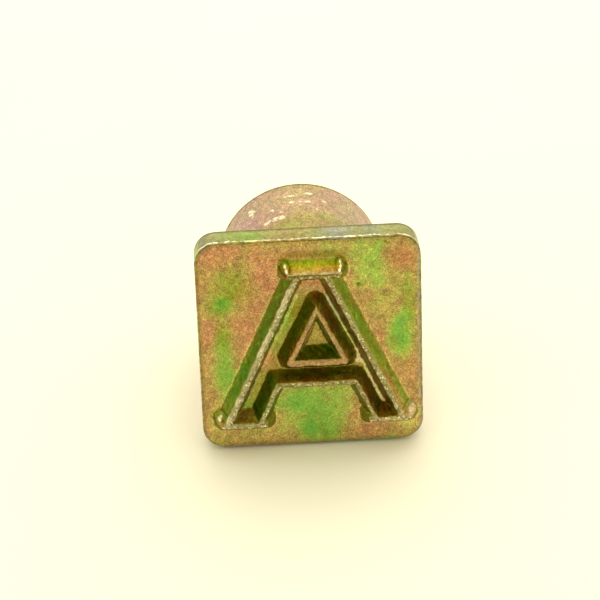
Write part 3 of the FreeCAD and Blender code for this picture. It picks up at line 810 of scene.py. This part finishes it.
def build_sleeve():
    y0, y1 = THICK, THICK + SHANK_L
    prof = []
    prof += [(y0 + 0.00, SHANK_R - 0.12), (y0 + 0.035, SHANK_R - 0.035), (y0 + 0.12, SHANK_R)]
    for y in np.linspace(y0 + 0.30, y1 - 0.56, 116):
        prof.append((y, SHANK_R))
    prof += [(y1 - 0.50, SHANK_R - 0.006), (y1 - 0.44, SHANK_R - 0.045), (y1 - 0.30, SHANK_R - 0.185),
             (y1 - 0.16, SHANK_R - 0.325), (y1 - 0.05, SHANK_R - 0.44), (y1 - 0.01, SHANK_R - 0.52)]
    for r in np.linspace(SHANK_R - 0.60, SOCKET_R + 0.52, 20):
        prof.append((y1, r))
    prof += [(y1 - 0.015, SOCKET_R + 0.44), (y1 - 0.07, SOCKET_R + 0.35), (y1 - 0.20, SOCKET_R + 0.20),
             (y1 - 0.34, SOCKET_R + 0.06), (y1 - 0.42, SOCKET_R)]
    g0, g1 = GROOVE_Y - GROOVE_W / 2, GROOVE_Y + GROOVE_W / 2
    for y in np.linspace(y1 - 0.65, g1 + 0.12, 26):
        prof.append((y, SOCKET_R))
    prof += [(g1 + 0.04, SOCKET_R + 0.01), (g1, SOCKET_R + 0.06), (g1, GROOVE_R - 0.10), (g1 - 0.06, GROOVE_R - 0.02),
             (g1 - 0.16, GROOVE_R), (GROOVE_Y, GROOVE_R), (g0 + 0.16, GROOVE_R), (g0 + 0.06, GROOVE_R - 0.02),
             (g0, GROOVE_R - 0.10), (g0, SOCKET_R + 0.06), (g0 - 0.04, SOCKET_R + 0.01)]
    for y in np.linspace(g0 - 0.12, y0 + 0.2, 8):
        prof.append((y, SOCKET_R))
    prof += [(y0 + 0.06, SOCKET_R + 0.02), (y0, SOCKET_R + 0.10), (y0, 6.2), (y0, 7.6)]

    dents = [(1.10, 15.6, 0.5, 0.045), (1.75, 19.0, 0.4, 0.03), (2.15, 13.0, 0.6, 0.04), (0.65, 20.4, 0.35, 0.06),
             (3.6, 12.0, 0.7, 0.05), (4.4, 17.5, 0.6, 0.05), (5.2, 9.0, 0.5, 0.04), (6.0, 16.0, 0.6, 0.04),
             (2.6, 20.8, 0.35, 0.07), (5.6, 21.2, 0.4, 0.08), (4.0, 21.1, 0.35, 0.07), (0.2, 11.0, 0.5, 0.03)]

    def wobble(P, ang, along, rad):
        outside = (rad > SHANK_R - 0.05) & (along < y1 - 0.52) & (along > y0 + 0.1)
        rim = (rad > SHANK_R - 0.56) & (along >= y1 - 0.52)
        rear = (np.abs(along - y1) < 0.02) & (rad < SHANK_R - 0.5)
        bore = (rad < SOCKET_R + 0.02) & (along > GROOVE_Y)
        dr = np.zeros_like(rad)
        dy = np.zeros_like(rad)
        marks = 0.0045 * np.sin(2 * math.pi * (along / 0.62 + ang / (2 * math.pi))) \
            + 0.0035 * noise(np.stack([along * 5.0, np.cos(ang) * 1.5, np.sin(ang) * 1.5], 1), 1.0, 131)
        skin = 0.012 * fbm(P, 0.35, 137, 2) + 0.006 * noise(P, 2.3, 139) + 0.004 * noise(P, 5.0, 149)
        dr += np.where(outside, marks + skin - 0.006, 0)
        dr += np.where(rim, 0.018 * fbm(P, 0.9, 151, 3) + 0.008 * noise(P, 4.0, 153), 0)
        dy += np.where(rim, 0.018 * fbm(P + 7.0, 0.9, 157, 3), 0) * np.where(rad > SHANK_R - 0.02, 0.3, 1.0)
        lathe_face = 0.006 * np.sin(2 * math.pi * rad / 0.36) + 0.010 * fbm(P, 0.5, 163, 2) + 0.005 * noise(P, 3.0, 167)
        dy += np.where(rear, lathe_face - 0.010, 0)
        dr += np.where(bore, -0.004 * np.sin(2 * math.pi * along / 0.5) + 0.004 * noise(P, 2.0, 173) - 0.002, 0)
        for a, y, r, d in dents:
            da = (ang - a + math.pi) % (2 * math.pi) - math.pi
            g = np.exp(-((da * SHANK_R / r) ** 2 + ((along - y) / (r * 0.8)) ** 2))
            dr -= d * g * (rad > SHANK_R - 0.3)
        return dr, dy

    P, faces, ang, along, rad = lathe(prof, 352, wobble=wobble)
    ob = make_object("shank", P, faces)
    fix_normals(ob)
    # holes for the cross pin
    cp, cf = lathe_capped([(-9.6, PIN_R), (-3.0, PIN_R), (3.0, PIN_R), (9.6, PIN_R)], 64, axis="X")
    # turned by part of a step, so that no corner of the hole meets a ring of the sleeve
    turn = 0.37 * 2 * math.pi / 64
    cp[:, 1:] = np.stack([cp[:, 1] * math.cos(turn) - cp[:, 2] * math.sin(turn),
                          cp[:, 1] * math.sin(turn) + cp[:, 2] * math.cos(turn)], 1)
    cp[:, 1] += PIN_Y
    cutter = make_object("cutter", cp, cf)
    fix_normals(cutter)
    mod = ob.modifiers.new("pin_hole", "BOOLEAN")
    mod.operation, mod.solver, mod.object = "DIFFERENCE", "EXACT", cutter
    dg = bpy.context.evaluated_depsgraph_get()
    cut = bpy.data.meshes.new_from_object(ob.evaluated_get(dg))
    ob.modifiers.clear()
    ob.data = cut
    cut.name = "shank"
    bpy.data.objects.remove(cutter)
    tidy(cut)
    # masks from the finished mesh
    co = np.empty(len(cut.vertices) * 3, np.float32)
    cut.vertices.foreach_get("co", co)
    row = co.reshape(-1, 3).astype(float)
    c, s_ = math.cos(TIP), math.sin(TIP)
    a, b = (row[:, 1] + 0.009856770) * 1000, (row[:, 2] - 0.011435224) * 1000
    L = np.stack([row[:, 0] * 1000, a * c - b * s_, a * s_ + b * c], 1)
    r = np.hypot(L[:, 0], L[:, 2])
    th = np.arctan2(L[:, 2], L[:, 0])
    arc = th * SHANK_R
    out = r > SHANK_R - 0.2
    film = 0.86 + 0.32 * fbm(L * (1, 0.8, 1), 0.26, 181, 3)
    # a green streak along the top of the shank and yellower places
    for x, y, rx, ry, value, wgt in ((-1.6, 10.2, 2.4, 1.6, 0.40, 0.75), (2.4, 12.5, 3.0, 1.2, 0.46, 0.70),
                                     (-5.4, 18.5, 1.0, 3.0, 0.62, 0.6), (5.3, 19.0, 1.2, 3.2, 0.60, 0.7),
                                     (0.5, 20.6, 4.0, 0.8, 0.58, 0.5)):
        w = wgt * np.exp(-(((L[:, 0] - x) / rx) ** 2 + ((L[:, 1] - y) / ry) ** 2)) * (L[:, 2] > 0)
        film += (value - film) * w
    silver = np.zeros(len(L))
    edge = 0.30 * noise(L * (1, 0.6, 1), 1.9, 263) + 0.20 * noise(L * (1, 0.6, 1), 4.2, 265)
    for x, y, rx, ry, wgt in ((-5.0, 17.2, 0.55, 1.5, 0.9), (-1.0, 18.0, 0.9, 0.35, 0.9), (1.0, 18.4, 0.7, 0.35, 0.8),
                              (-0.9, 16.2, 0.5, 0.4, 0.8), (0.5, 16.1, 0.9, 0.3, 0.8), (-2.9, 12.6, 1.1, 0.6, 0.9),
                              (-3.0, 15.3, 0.5, 0.5, 0.6), (-3.9, 16.5, 0.35, 0.4, 0.5), (1.7, 14.3, 0.5, 0.25, 0.5),
                              (2.6, 16.8, 0.4, 0.3, 0.5), (-2.0, 14.1, 0.5, 0.3, 0.5)):
        g = np.exp(-(((L[:, 0] - x) / rx) ** 2 + ((L[:, 1] - y) / ry) ** 2)) * (L[:, 2] > 0)
        silver = np.maximum(silver, 0.84 * smooth(wgt * g + edge * (g > 0.05), 0.36, 0.66))
    elsewhere = np.clip(fbm(L, 0.55, 191, 2) * 2.2 - 0.95, 0, 1) * (L[:, 2] < 5) * out
    silver = np.maximum(silver, 0.8 * elsewhere)
    rimm = smooth(L[:, 1], y1 - 0.62, y1 - 0.45) * (r > SHANK_R - 0.62)
    inside = (r < SOCKET_R + 0.9) & (L[:, 1] < y1 - 0.5) & (r < 6.0)
    rear = (L[:, 1] > y1 - 0.12) & (r < SHANK_R - 0.4)
    film = np.where(rear, 0.66 + 0.26 * fbm(L, 0.22, 193, 3), film)
    film = np.where(inside, 0.50 + 0.25 * fbm(L, 0.3, 197, 2), film)
    worn = np.clip(rimm * (0.55 + 0.5 * fbm(L, 0.8, 199, 2)), 0, 1)
    mouth = smooth(r, SOCKET_R + 0.6, SOCKET_R + 0.3) * (L[:, 1] > y1 - 0.5)
    worn = np.maximum(worn, np.clip(mouth * 0.8, 0, 1))
    # painted shade inside the bore and round the pin holes
    shade = np.where(inside, 0.8, 1.0)
    hole = np.hypot(L[:, 1] - PIN_Y, L[:, 2]) < PIN_R + 0.25
    shade = np.where(hole & out, 0.75, shade)
    # painted shade: the top of the shank is darkened along its middle, more towards the head
    shade *= 1 - (0.16 + 0.18 * (1 - smooth(L[:, 1], 10.5, 15.0))) * np.exp(-(L[:, 0] / 4.8) ** 4) * (L[:, 2] > 0) * out
    # painted shade: a dark line round the shank just before its rear rim
    shade *= 1 - 0.55 * smooth(L[:, 1], y1 - 0.98, y1 - 0.72) * smooth(r, SHANK_R - 0.40, SHANK_R - 0.10)
    for key, values in (("film", np.clip(film, 0, 1)), ("silver", np.clip(silver, 0, 1)), ("worn", worn), ("shade", shade)):
        at = cut.attributes.new(key, "FLOAT", "POINT")
        at.data.foreach_set("value", values.astype(np.float32))
    cut.shade_smooth()
    return ob


def build_pin():
    L = PIN_HALF
    half = [(L - 0.20, PIN_R), (L - 0.12, PIN_R - 0.015), (L - 0.05, PIN_R - 0.06), (L - 0.01, PIN_R - 0.14),
            (L + 0.015, PIN_R - 0.26), (L + 0.030, 0.80), (L + 0.035, 0.60), (L + 0.030, 0.42), (L + 0.005, 0.30),
            (L - 0.05, 0.20), (L - 0.10, 0.11), (L - 0.12, 0.04)]
    mid = [(x, PIN_R) for x in np.linspace(-(L - 0.32), L - 0.32, 36)]
    prof = [(-a, r) for a, r in reversed(half)] + mid + half

    def wobble(P, ang, along, rad):
        end = np.abs(along) > L - 0.18
        dy = np.where(end, 0.014 * noise(np.stack([P[:, 0], P[:, 2], along], 1), 2.6, 211)
                      + 0.008 * noise(np.stack([P[:, 0], P[:, 2], along], 1), 6.0, 213), 0) * np.sign(along)
        dr = 0.003 * noise(P, 3.0, 215)
        return dr, dy

    P, faces = lathe_capped(prof, 72, axis="X", wobble=wobble)
    P[:, 1] += PIN_Y
    ob = make_object("pin", P, faces)
    fix_normals(ob)
    return ob


def build_disc():
    y0, y1 = SPIGOT_END - DISC_T, SPIGOT_END
    front = [(y0, 0.05), (y0, 1.5), (y0, 3.0), (y0, DISC_R - 0.15), (y0 + 0.04, DISC_R - 0.04), (y0 + 0.15, DISC_R)]
    side = [(y, DISC_R) for y in np.linspace(y0 + 0.3, y1 - 0.3, 6)]
    rear = [(y1 - 0.16, DISC_R), (y1 - 0.06, DISC_R - 0.03), (y1 - 0.015, DISC_R - 0.09), (y1, DISC_R - 0.18)]
    rear += [(y1, r) for r in np.linspace(DISC_R - 0.30, 0.04, 46)]
    dents = [(0.4, 0.7, 0.35, 0.03), (-1.2, 0.3, 0.30, 0.025), (0.2, -1.1, 0.40, 0.035), (1.6, 1.2, 0.25, 0.02),
             (-0.6, 1.9, 0.30, 0.02), (-2.0, -1.3, 0.30, 0.02), (1.9, -1.7, 0.25, 0.02)]

    def wobble(P, ang, along, rad):
        end = (along > y1 - 0.02)
        x, z = P[:, 0], P[:, 2]
        g = 0.005 * np.sin(2 * math.pi * rad / 0.30) * (rad > 0.3) + 0.004 * noise(P, 4.0, 221)
        g = g - 0.030 * np.exp(-(rad / 1.8) ** 2)
        for cx, cz, r, d in dents:
            g -= d * np.exp(-(((x - cx) / r) ** 2 + ((z - cz) / r) ** 2))
        return np.zeros_like(rad), np.where(end, g - 0.004, 0)

    P, faces = lathe_capped(front + side + rear, 128, wobble=wobble)
    ob = make_object("disc", P, faces)
    fix_normals(ob)
    return ob


def build_ring():
    wire, mid, gap = 0.50, 5.0, math.radians(16)
    n_arc, n_sec = 220, 28
    a0, a1 = math.pi / 2 + gap / 2, math.pi / 2 + 2 * math.pi - gap / 2
    rings = []

    def section(angle, scale, shift):
        t = np.arange(n_sec) / n_sec * 2 * math.pi
        rr = wire * scale
        # coiled spring wire flattens a little on the inside of the bend
        rx = rr * np.cos(t) * np.where(np.cos(t) < 0, 0.975, 1.0)
        rad = mid + rx
        y = GROOVE_Y + rr * np.sin(t)
        x, z = rad * math.cos(angle), rad * math.sin(angle)
        tang = np.array([-math.sin(angle), math.cos(angle)])
        x = x + tang[0] * shift
        z = z + tang[1] * shift
        return np.stack([x, y, z], 1)

    rings = [section(a0, 0.05, 0.0), section(a0, 0.55, 0.0), section(a0, 0.86, 0.006), section(a0, 0.97, 0.04)]
    for a in np.linspace(a0 + 0.018, a1 - 0.018, n_arc):
        rings.append(section(a, 1.0, 0.0))
    rings += [section(a1, 0.97, -0.04), section(a1, 0.86, -0.006), section(a1, 0.55, 0.0), section(a1, 0.05, 0.0)]
    P = np.concatenate(rings)
    m = len(rings)
    centre = np.array([rings[0].mean(0), rings[-1].mean(0)])
    P += 0.004 * noise(P, 2.2, 231)[:, None]
    P = np.concatenate([P, centre])
    faces = []
    seg = np.arange(n_sec)
    nxt = (seg + 1) % n_sec
    for i in range(m - 1):
        a, b = i * n_sec, (i + 1) * n_sec
        faces += list(zip((a + seg).tolist(), (a + nxt).tolist(), (b + nxt).tolist(), (b + seg).tolist()))
    last = (m - 1) * n_sec
    for i in range(n_sec):
        faces.append((int(nxt[i]), int(seg[i]), m * n_sec))
        faces.append((int(last + seg[i]), int(last + nxt[i]), m * n_sec + 1))
    ob = make_object("ring", P, faces)
    fix_normals(ob)
    return ob


# ---------------------------------------------------------------- materials
def lin(c):
    return tuple((x / 12.92 if x <= 0.04045 else ((x + 0.055) / 1.055) ** 2.4) for x in [k / 255 for k in c]) + (1.0,)


class Nodes:
    def __init__(self, name, stretch=1.0):
        self.mat = bpy.data.materials.new(name)
        self.mat.use_nodes = True
        self.t = self.mat.node_tree
        self.t.nodes.clear()
        self.out = self.t.nodes.new("ShaderNodeOutputMaterial")
        self.bsdf = self.t.nodes.new("ShaderNodeBsdfPrincipled")
        self.link(self.bsdf.outputs[0], self.out.inputs[0])
        tc = self.t.nodes.new("ShaderNodeTexCoord")
        mp = self.t.nodes.new("ShaderNodeMapping")
        mp.inputs["Scale"].default_value = (1000, 1000 / stretch, 1000)
        self.link(tc.outputs["Object"], mp.inputs["Vector"])
        self.mm = mp.outputs[0]

    def link(self, a, b):
        self.t.links.new(a, b)

    def attr(self, name):
        n = self.t.nodes.new("ShaderNodeAttribute")
        n.attribute_name = name
        return n.outputs["Fac"]

    def noise(self, scale, detail=2.0, rough=0.5, distortion=0.0, vec=None):
        n = self.t.nodes.new("ShaderNodeTexNoise")
        n.inputs["Scale"].default_value = scale
        n.inputs["Detail"].default_value = detail
        n.inputs["Roughness"].default_value = rough
        n.inputs["Distortion"].default_value = distortion
        self.link(vec or self.mm, n.inputs["Vector"])
        return n.outputs["Fac"]

    def voronoi(self, scale, feature="F1"):
        n = self.t.nodes.new("ShaderNodeTexVoronoi")
        n.feature = feature
        n.inputs["Scale"].default_value = scale
        self.link(self.mm, n.inputs["Vector"])
        return n.outputs["Distance"]

    def put(self, socket, value):
        if hasattr(value, "is_linked") or hasattr(value, "links"):
            self.link(value, socket)
        else:
            socket.default_value = value

    def math(self, op, a, b=0.0, c=None, clamp=False):
        n = self.t.nodes.new("ShaderNodeMath")
        n.operation = op
        n.use_clamp = clamp
        self.put(n.inputs[0], a)
        self.put(n.inputs[1], b)
        if c is not None:
            self.put(n.inputs[2], c)
        return n.outputs[0]

    def remap(self, x, a, b, c, d):
        n = self.t.nodes.new("ShaderNodeMapRange")
        n.clamp = True
        for k, val in zip(("From Min", "From Max", "To Min", "To Max"), (a, b, c, d)):
            n.inputs[k].default_value = val
        self.link(x, n.inputs["Value"])
        return n.outputs[0]

    def ramp(self, x, stops):
        n = self.t.nodes.new("ShaderNodeValToRGB")
        el = n.color_ramp.elements
        while len(el) > 1:
            el.remove(el[0])
        el[0].position, el[0].color = stops[0][0], lin(stops[0][1])
        for pos, col in stops[1:]:
            e = el.new(pos)
            e.color = lin(col)
        self.link(x, n.inputs[0])
        return n.outputs[0]

    def mix(self, fac, a, b, blend="MIX"):
        n = self.t.nodes.new("ShaderNodeMix")
        n.data_type = "RGBA"
        n.blend_type = blend
        n.clamp_factor = True
        self.put(n.inputs[0], fac)
        for sock, val in ((n.inputs[6], a), (n.inputs[7], b)):
            self.put(sock, val)
        return n.outputs[2]

    def grey(self, x):
        n = self.t.nodes.new("ShaderNodeCombineColor")
        for i in range(3):
            self.link(x, n.inputs[i])
        return n.outputs[0]

    def bump(self, h, strength, distance, normal=None):
        n = self.t.nodes.new("ShaderNodeBump")
        n.inputs["Strength"].default_value = strength
        n.inputs["Distance"].default_value = distance
        self.link(h, n.inputs["Height"])
        if normal is not None:
            self.link(normal, n.inputs["Normal"])
        return n.outputs[0]


HEAD_RAMP = [(0.00, (92, 164, 110)), (0.12, (106, 172, 84)), (0.25, (126, 175, 74)), (0.38, (153, 176, 82)),
             (0.50, (171, 168, 90)), (0.62, (179, 155, 94)), (0.74, (187, 146, 99)), (0.87, (195, 139, 104)),
             (1.00, (199, 141, 124))]
SHANK_RAMP = [(0.00, (99, 144, 104)), (0.25, (138, 160, 93)), (0.42, (152, 158, 102)), (0.55, (170, 162, 110)),
              (0.68, (178, 158, 122)), (0.80, (180, 153, 130)), (0.90, (182, 149, 136)), (1.00, (184, 143, 142))]


def chromate(name, ramp, silver_colour, worn_colour, metallic=1.0, rough=0.42, mottle=1.0, pale=(190, 180, 128), stretch=1.0):
    n = Nodes(name, stretch)
    film = n.attr("film")
    cloud = n.noise(0.55, 4.0, 0.6, 0.4)
    patch = n.noise(1.25, 3.0, 0.55, 0.3)
    fleck = n.noise(3.1, 3.0, 0.65)
    grain = n.noise(8.0, 2.0, 0.6)
    f = n.math("ADD", film, n.remap(cloud, 0.3, 0.7, -0.07, 0.07))
    f = n.math("ADD", f, n.remap(patch, 0.3, 0.7, -0.035, 0.035))
    f = n.math("ADD", f, n.remap(fleck, 0.25, 0.75, -0.008, 0.008), clamp=True)
    base = n.ramp(f, ramp)
    # light and dark mottling of the plated skin
    tone = n.math("MULTIPLY", n.remap(fleck, 0.34, 0.66, 1 - 0.24 * mottle, 1 + 0.24 * mottle),
                  n.remap(patch, 0.32, 0.68, 1 + 0.17 * mottle, 1 - 0.17 * mottle))
    tone = n.math("MULTIPLY", tone, n.remap(grain, 0.34, 0.66, 1 - 0.38 * mottle, 1 + 0.38 * mottle))
    calm = n.remap(f, 0.20, 0.62, 0.62, 1.08)
    tone = n.math("MULTIPLY_ADD", n.math("SUBTRACT", tone, 1.0), calm, 1.0)
    base = n.mix(1.0, base, n.grey(tone), "MULTIPLY")
    # pale and dark specks
    salt = n.voronoi(1.9)
    base = n.mix(n.remap(salt, 0.04, 0.17, 0.40, 0.0), base, lin(pale))
    speck = n.voronoi(2.6)
    base = n.mix(n.remap(speck, 0.05, 0.16, 0.34, 0.0), base, lin((70, 48, 24)))
    # bare, silvery places
    s = n.math("MULTIPLY", n.attr("silver"), n.remap(fleck, 0.40, 0.58, 0.15, 1.35), clamp=True)
    base = n.mix(s, base, lin(silver_colour))
    # worn crests and edges: pale, with dark pores
    pores = n.remap(n.noise(3.6, 3.0, 0.7), 0.36, 0.66, 0.0, 1.0)
    wide = n.remap(patch, 0.35, 0.65, 0.75, 1.15)
    worn_col = n.mix(pores, lin(tuple(int(c * 0.44) for c in worn_colour)), lin(worn_colour))
    worn_col = n.mix(n.remap(n.noise(4.2, 2.0, 0.6), 0.56, 0.66, 0.0, 0.9), worn_col, lin(tuple(min(252, int(c * 1.48)) for c in worn_colour)))
    worn_col = n.mix(1.0, worn_col, n.grey(wide), "MULTIPLY")
    worn = n.attr("worn")
    base = n.mix(n.math("MULTIPLY", worn, 0.92), base, worn_col)
    # painted shade: the shade mask darkens the colour, blue the most except on silvery places, so hollows also turn
    # yellower; values above one paint light
    sh = n.attr("shade")
    tint = n.t.nodes.new("ShaderNodeCombineColor")
    n.link(sh, tint.inputs[0])
    n.link(sh, tint.inputs[1])
    bare = n.math("MULTIPLY_ADD", n.attr("silver"), -1.9, 2.8)
    n.link(n.math("MINIMUM", n.math("POWER", sh, bare), sh), tint.inputs[2])
    base = n.mix(1.0, base, tint.outputs[0], "MULTIPLY")
    base = n.mix(n.attr("rust"), base, n.mix(1.0, base, (1.12, 0.40, 0.55, 1), "MULTIPLY"))
    base = n.mix(n.attr("gold"), base, n.mix(1.0, base, (1.03, 1.03, 0.28, 1), "MULTIPLY"))
    # painted highlight: near white where the glint mask is, on the burr, the serif's rolled edge, the beads and the
    # left leg's bevel
    base = n.mix(n.attr("painted_glint"), base, lin((250, 242, 206)))
    n.link(base, n.bsdf.inputs["Base Color"])
    n.bsdf.inputs["Metallic"].default_value = metallic
    r = n.remap(fleck, 0.3, 0.7, rough - 0.07, rough + 0.09)
    r = n.math("SUBTRACT", r, n.math("MULTIPLY", worn, 0.10))
    n.link(r, n.bsdf.inputs["Roughness"])
    peel = n.noise(2.2, 3.0, 0.55)
    hgt = n.math("ADD", n.math("MULTIPLY", peel, 0.6), n.math("MULTIPLY", grain, 0.4))
    n.link(n.bump(hgt, 0.85, 0.00007), n.bsdf.inputs["Normal"])
    return n.mat


def steel(name, light, dark, rough, streak_axis=None, tint=0.0):
    n = Nodes(name)
    fine = n.noise(6.0, 3.0, 0.6)
    slow = n.noise(0.8, 3.0, 0.55, 0.3)
    col = n.mix(n.remap(slow, 0.3, 0.7, 0.0, 1.0), lin(dark), lin(light))
    col = n.mix(n.remap(fine, 0.55, 0.75, 0.0, 0.45), col, lin(tuple(int(c * 0.55) for c in dark)))
    n.link(col, n.bsdf.inputs["Base Color"])
    n.bsdf.inputs["Metallic"].default_value = 1.0
    n.link(n.remap(fine, 0.3, 0.7, rough - 0.06, rough + 0.10), n.bsdf.inputs["Roughness"])
    if streak_axis:
        mp = n.t.nodes.new("ShaderNodeMapping")
        mp.inputs["Scale"].default_value = streak_axis
        n.link(n.mm, mp.inputs["Vector"])
        fine = n.noise(2.0, 3.0, 0.6, 0.0, mp.outputs[0])
    n.link(n.bump(fine, 0.35, 0.00003), n.bsdf.inputs["Normal"])
    return n.mat


head_mat = chromate("head_chromate", HEAD_RAMP, (168, 178, 184), (186, 177, 138), rough=0.42)
shank_mat = chromate("shank_chromate", SHANK_RAMP, (252, 244, 208), (168, 156, 116), rough=0.46, mottle=0.95, pale=(220, 212, 160), stretch=1.9)
pin_mat = steel("pin_steel", (186, 184, 176), (150, 146, 136), 0.34)
disc_mat = steel("hard_steel", (168, 166, 162), (126, 122, 116), 0.30)
ring_mat = steel("spring_steel", (120, 116, 112), (74, 70, 68), 0.32)

head = build_head()
sleeve = build_sleeve()
pin = build_pin()
disc = build_disc()
ring = build_ring()
for ob, mat, node, body, slot in ((head, head_mat, "letter_head", "stamp", "head_chromate"),
                                  (sleeve, shank_mat, "shank_sleeve", "stamp", "shank_chromate"),
                                  (pin, pin_mat, "cross_pin", "stamp", "pin_steel"),
                                  (disc, disc_mat, "strike_disc", "stamp", "hard_steel"),
                                  (ring, ring_mat, "retaining_ring", "ring", "spring_steel")):
    ob.data.materials.clear()
    ob.data.materials.append(mat)
    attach(ob, body)
    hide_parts(node)

# -------------------------------------------------------------------- stage
fm = Nodes("floor_paper")
paper = fm.noise(0.02, 3.0, 0.5)
fm.link(fm.mix(fm.remap(paper, 0.3, 0.7, 0.0, 1.0), (0.955, 0.922, 0.790, 1), (0.970, 0.937, 0.815, 1)), fm.bsdf.inputs["Base Color"])
fm.bsdf.inputs["Roughness"].default_value = 0.8
fm.bsdf.inputs["Specular IOR Level"].default_value = 0.2
me = bpy.data.meshes.new("floor")
me.from_pydata([(-3, -3, 0), (3, -3, 0), (3, 3, 0), (-3, 3, 0)], [], [(0, 1, 2, 3)])
floor = bpy.data.objects.new("floor", me)
bpy.context.scene.collection.objects.link(floor)
me.materials.append(fm.mat)

scene = bpy.context.scene
scene.view_settings.view_transform = "Standard"
scene.view_settings.look = "None"
world = bpy.data.worlds.new("studio")
scene.world = world
world.use_nodes = True
bg = world.node_tree.nodes["Background"]
bg.inputs[1].default_value = 1.10
# a bright room: the sky is fuller overhead than near the horizon
wt = world.node_tree
coord = wt.nodes.new("ShaderNodeTexCoord")
split = wt.nodes.new("ShaderNodeSeparateXYZ")
sky = wt.nodes.new("ShaderNodeValToRGB")
wt.links.new(coord.outputs["Generated"], split.inputs[0])
wt.links.new(split.outputs[2], sky.inputs[0])
side = wt.nodes.new("ShaderNodeMapRange")
side.inputs["From Min"].default_value, side.inputs["From Max"].default_value = -1.0, 1.0
wt.links.new(split.outputs[1], side.inputs["Value"])
lean = wt.nodes.new("ShaderNodeValToRGB")
wt.links.new(side.outputs[0], lean.inputs[0])
lean.color_ramp.elements[0].color = (0.78, 0.73, 0.58, 1)
lean.color_ramp.elements[1].color = (1.22, 1.22, 1.20, 1)
both = wt.nodes.new("ShaderNodeMix")
both.data_type, both.blend_type = "RGBA", "MULTIPLY"
both.inputs[0].default_value = 1.0
wt.links.new(sky.outputs[0], both.inputs[6])
wt.links.new(lean.outputs[0], both.inputs[7])
wt.links.new(both.outputs[2], bg.inputs[0])
el = sky.color_ramp.elements
el[0].position, el[0].color = 0.0, (0.80, 0.775, 0.655, 1)
el[1].position, el[1].color = 1.0, (0.90, 0.875, 0.75, 1)
for pos, k in ((0.12, 0.90), (0.34, 1.02), (0.65, 1.02)):
    e = el.new(pos)
    e.color = (k, 0.97 * k, 0.83 * k, 1)


def area(name, place, aim, size, energy, colour=(1, 1, 1)):
    d = bpy.data.lights.new(name, "AREA")
    d.shape = "SQUARE"
    d.size = size
    d.energy = energy
    d.color = colour
    o = bpy.data.objects.new(name, d)
    scene.collection.objects.link(o)
    o.location = place
    o.rotation_euler = (Vector(aim) - Vector(place)).to_track_quat("-Z", "Y").to_euler()
    return o


area("overhead", (0.05, 0.29, 0.40), (0, 0, 0.01), 0.55, 1.35, (1.0, 0.97, 0.83))

cam_data = bpy.data.cameras.new("camera")
cam = bpy.data.objects.new("camera", cam_data)
scene.collection.objects.link(cam)
scene.camera = cam
cam_data.sensor_width = 36.0
cam_data.lens = 137.865
cam_data.clip_start, cam_data.clip_end = 0.01, 10.0
R = ((0.9982033, 0.0506047, -0.0320842), (-0.0539786, 0.5270228, -0.8481352), (-0.0260105, 0.8483432, 0.5288075))
cam.matrix_world = Matrix([list(R[i]) + [(-0.00815, -0.200817, 0.135624)[i]] for i in range(3)] + [[0, 0, 0, 1]])
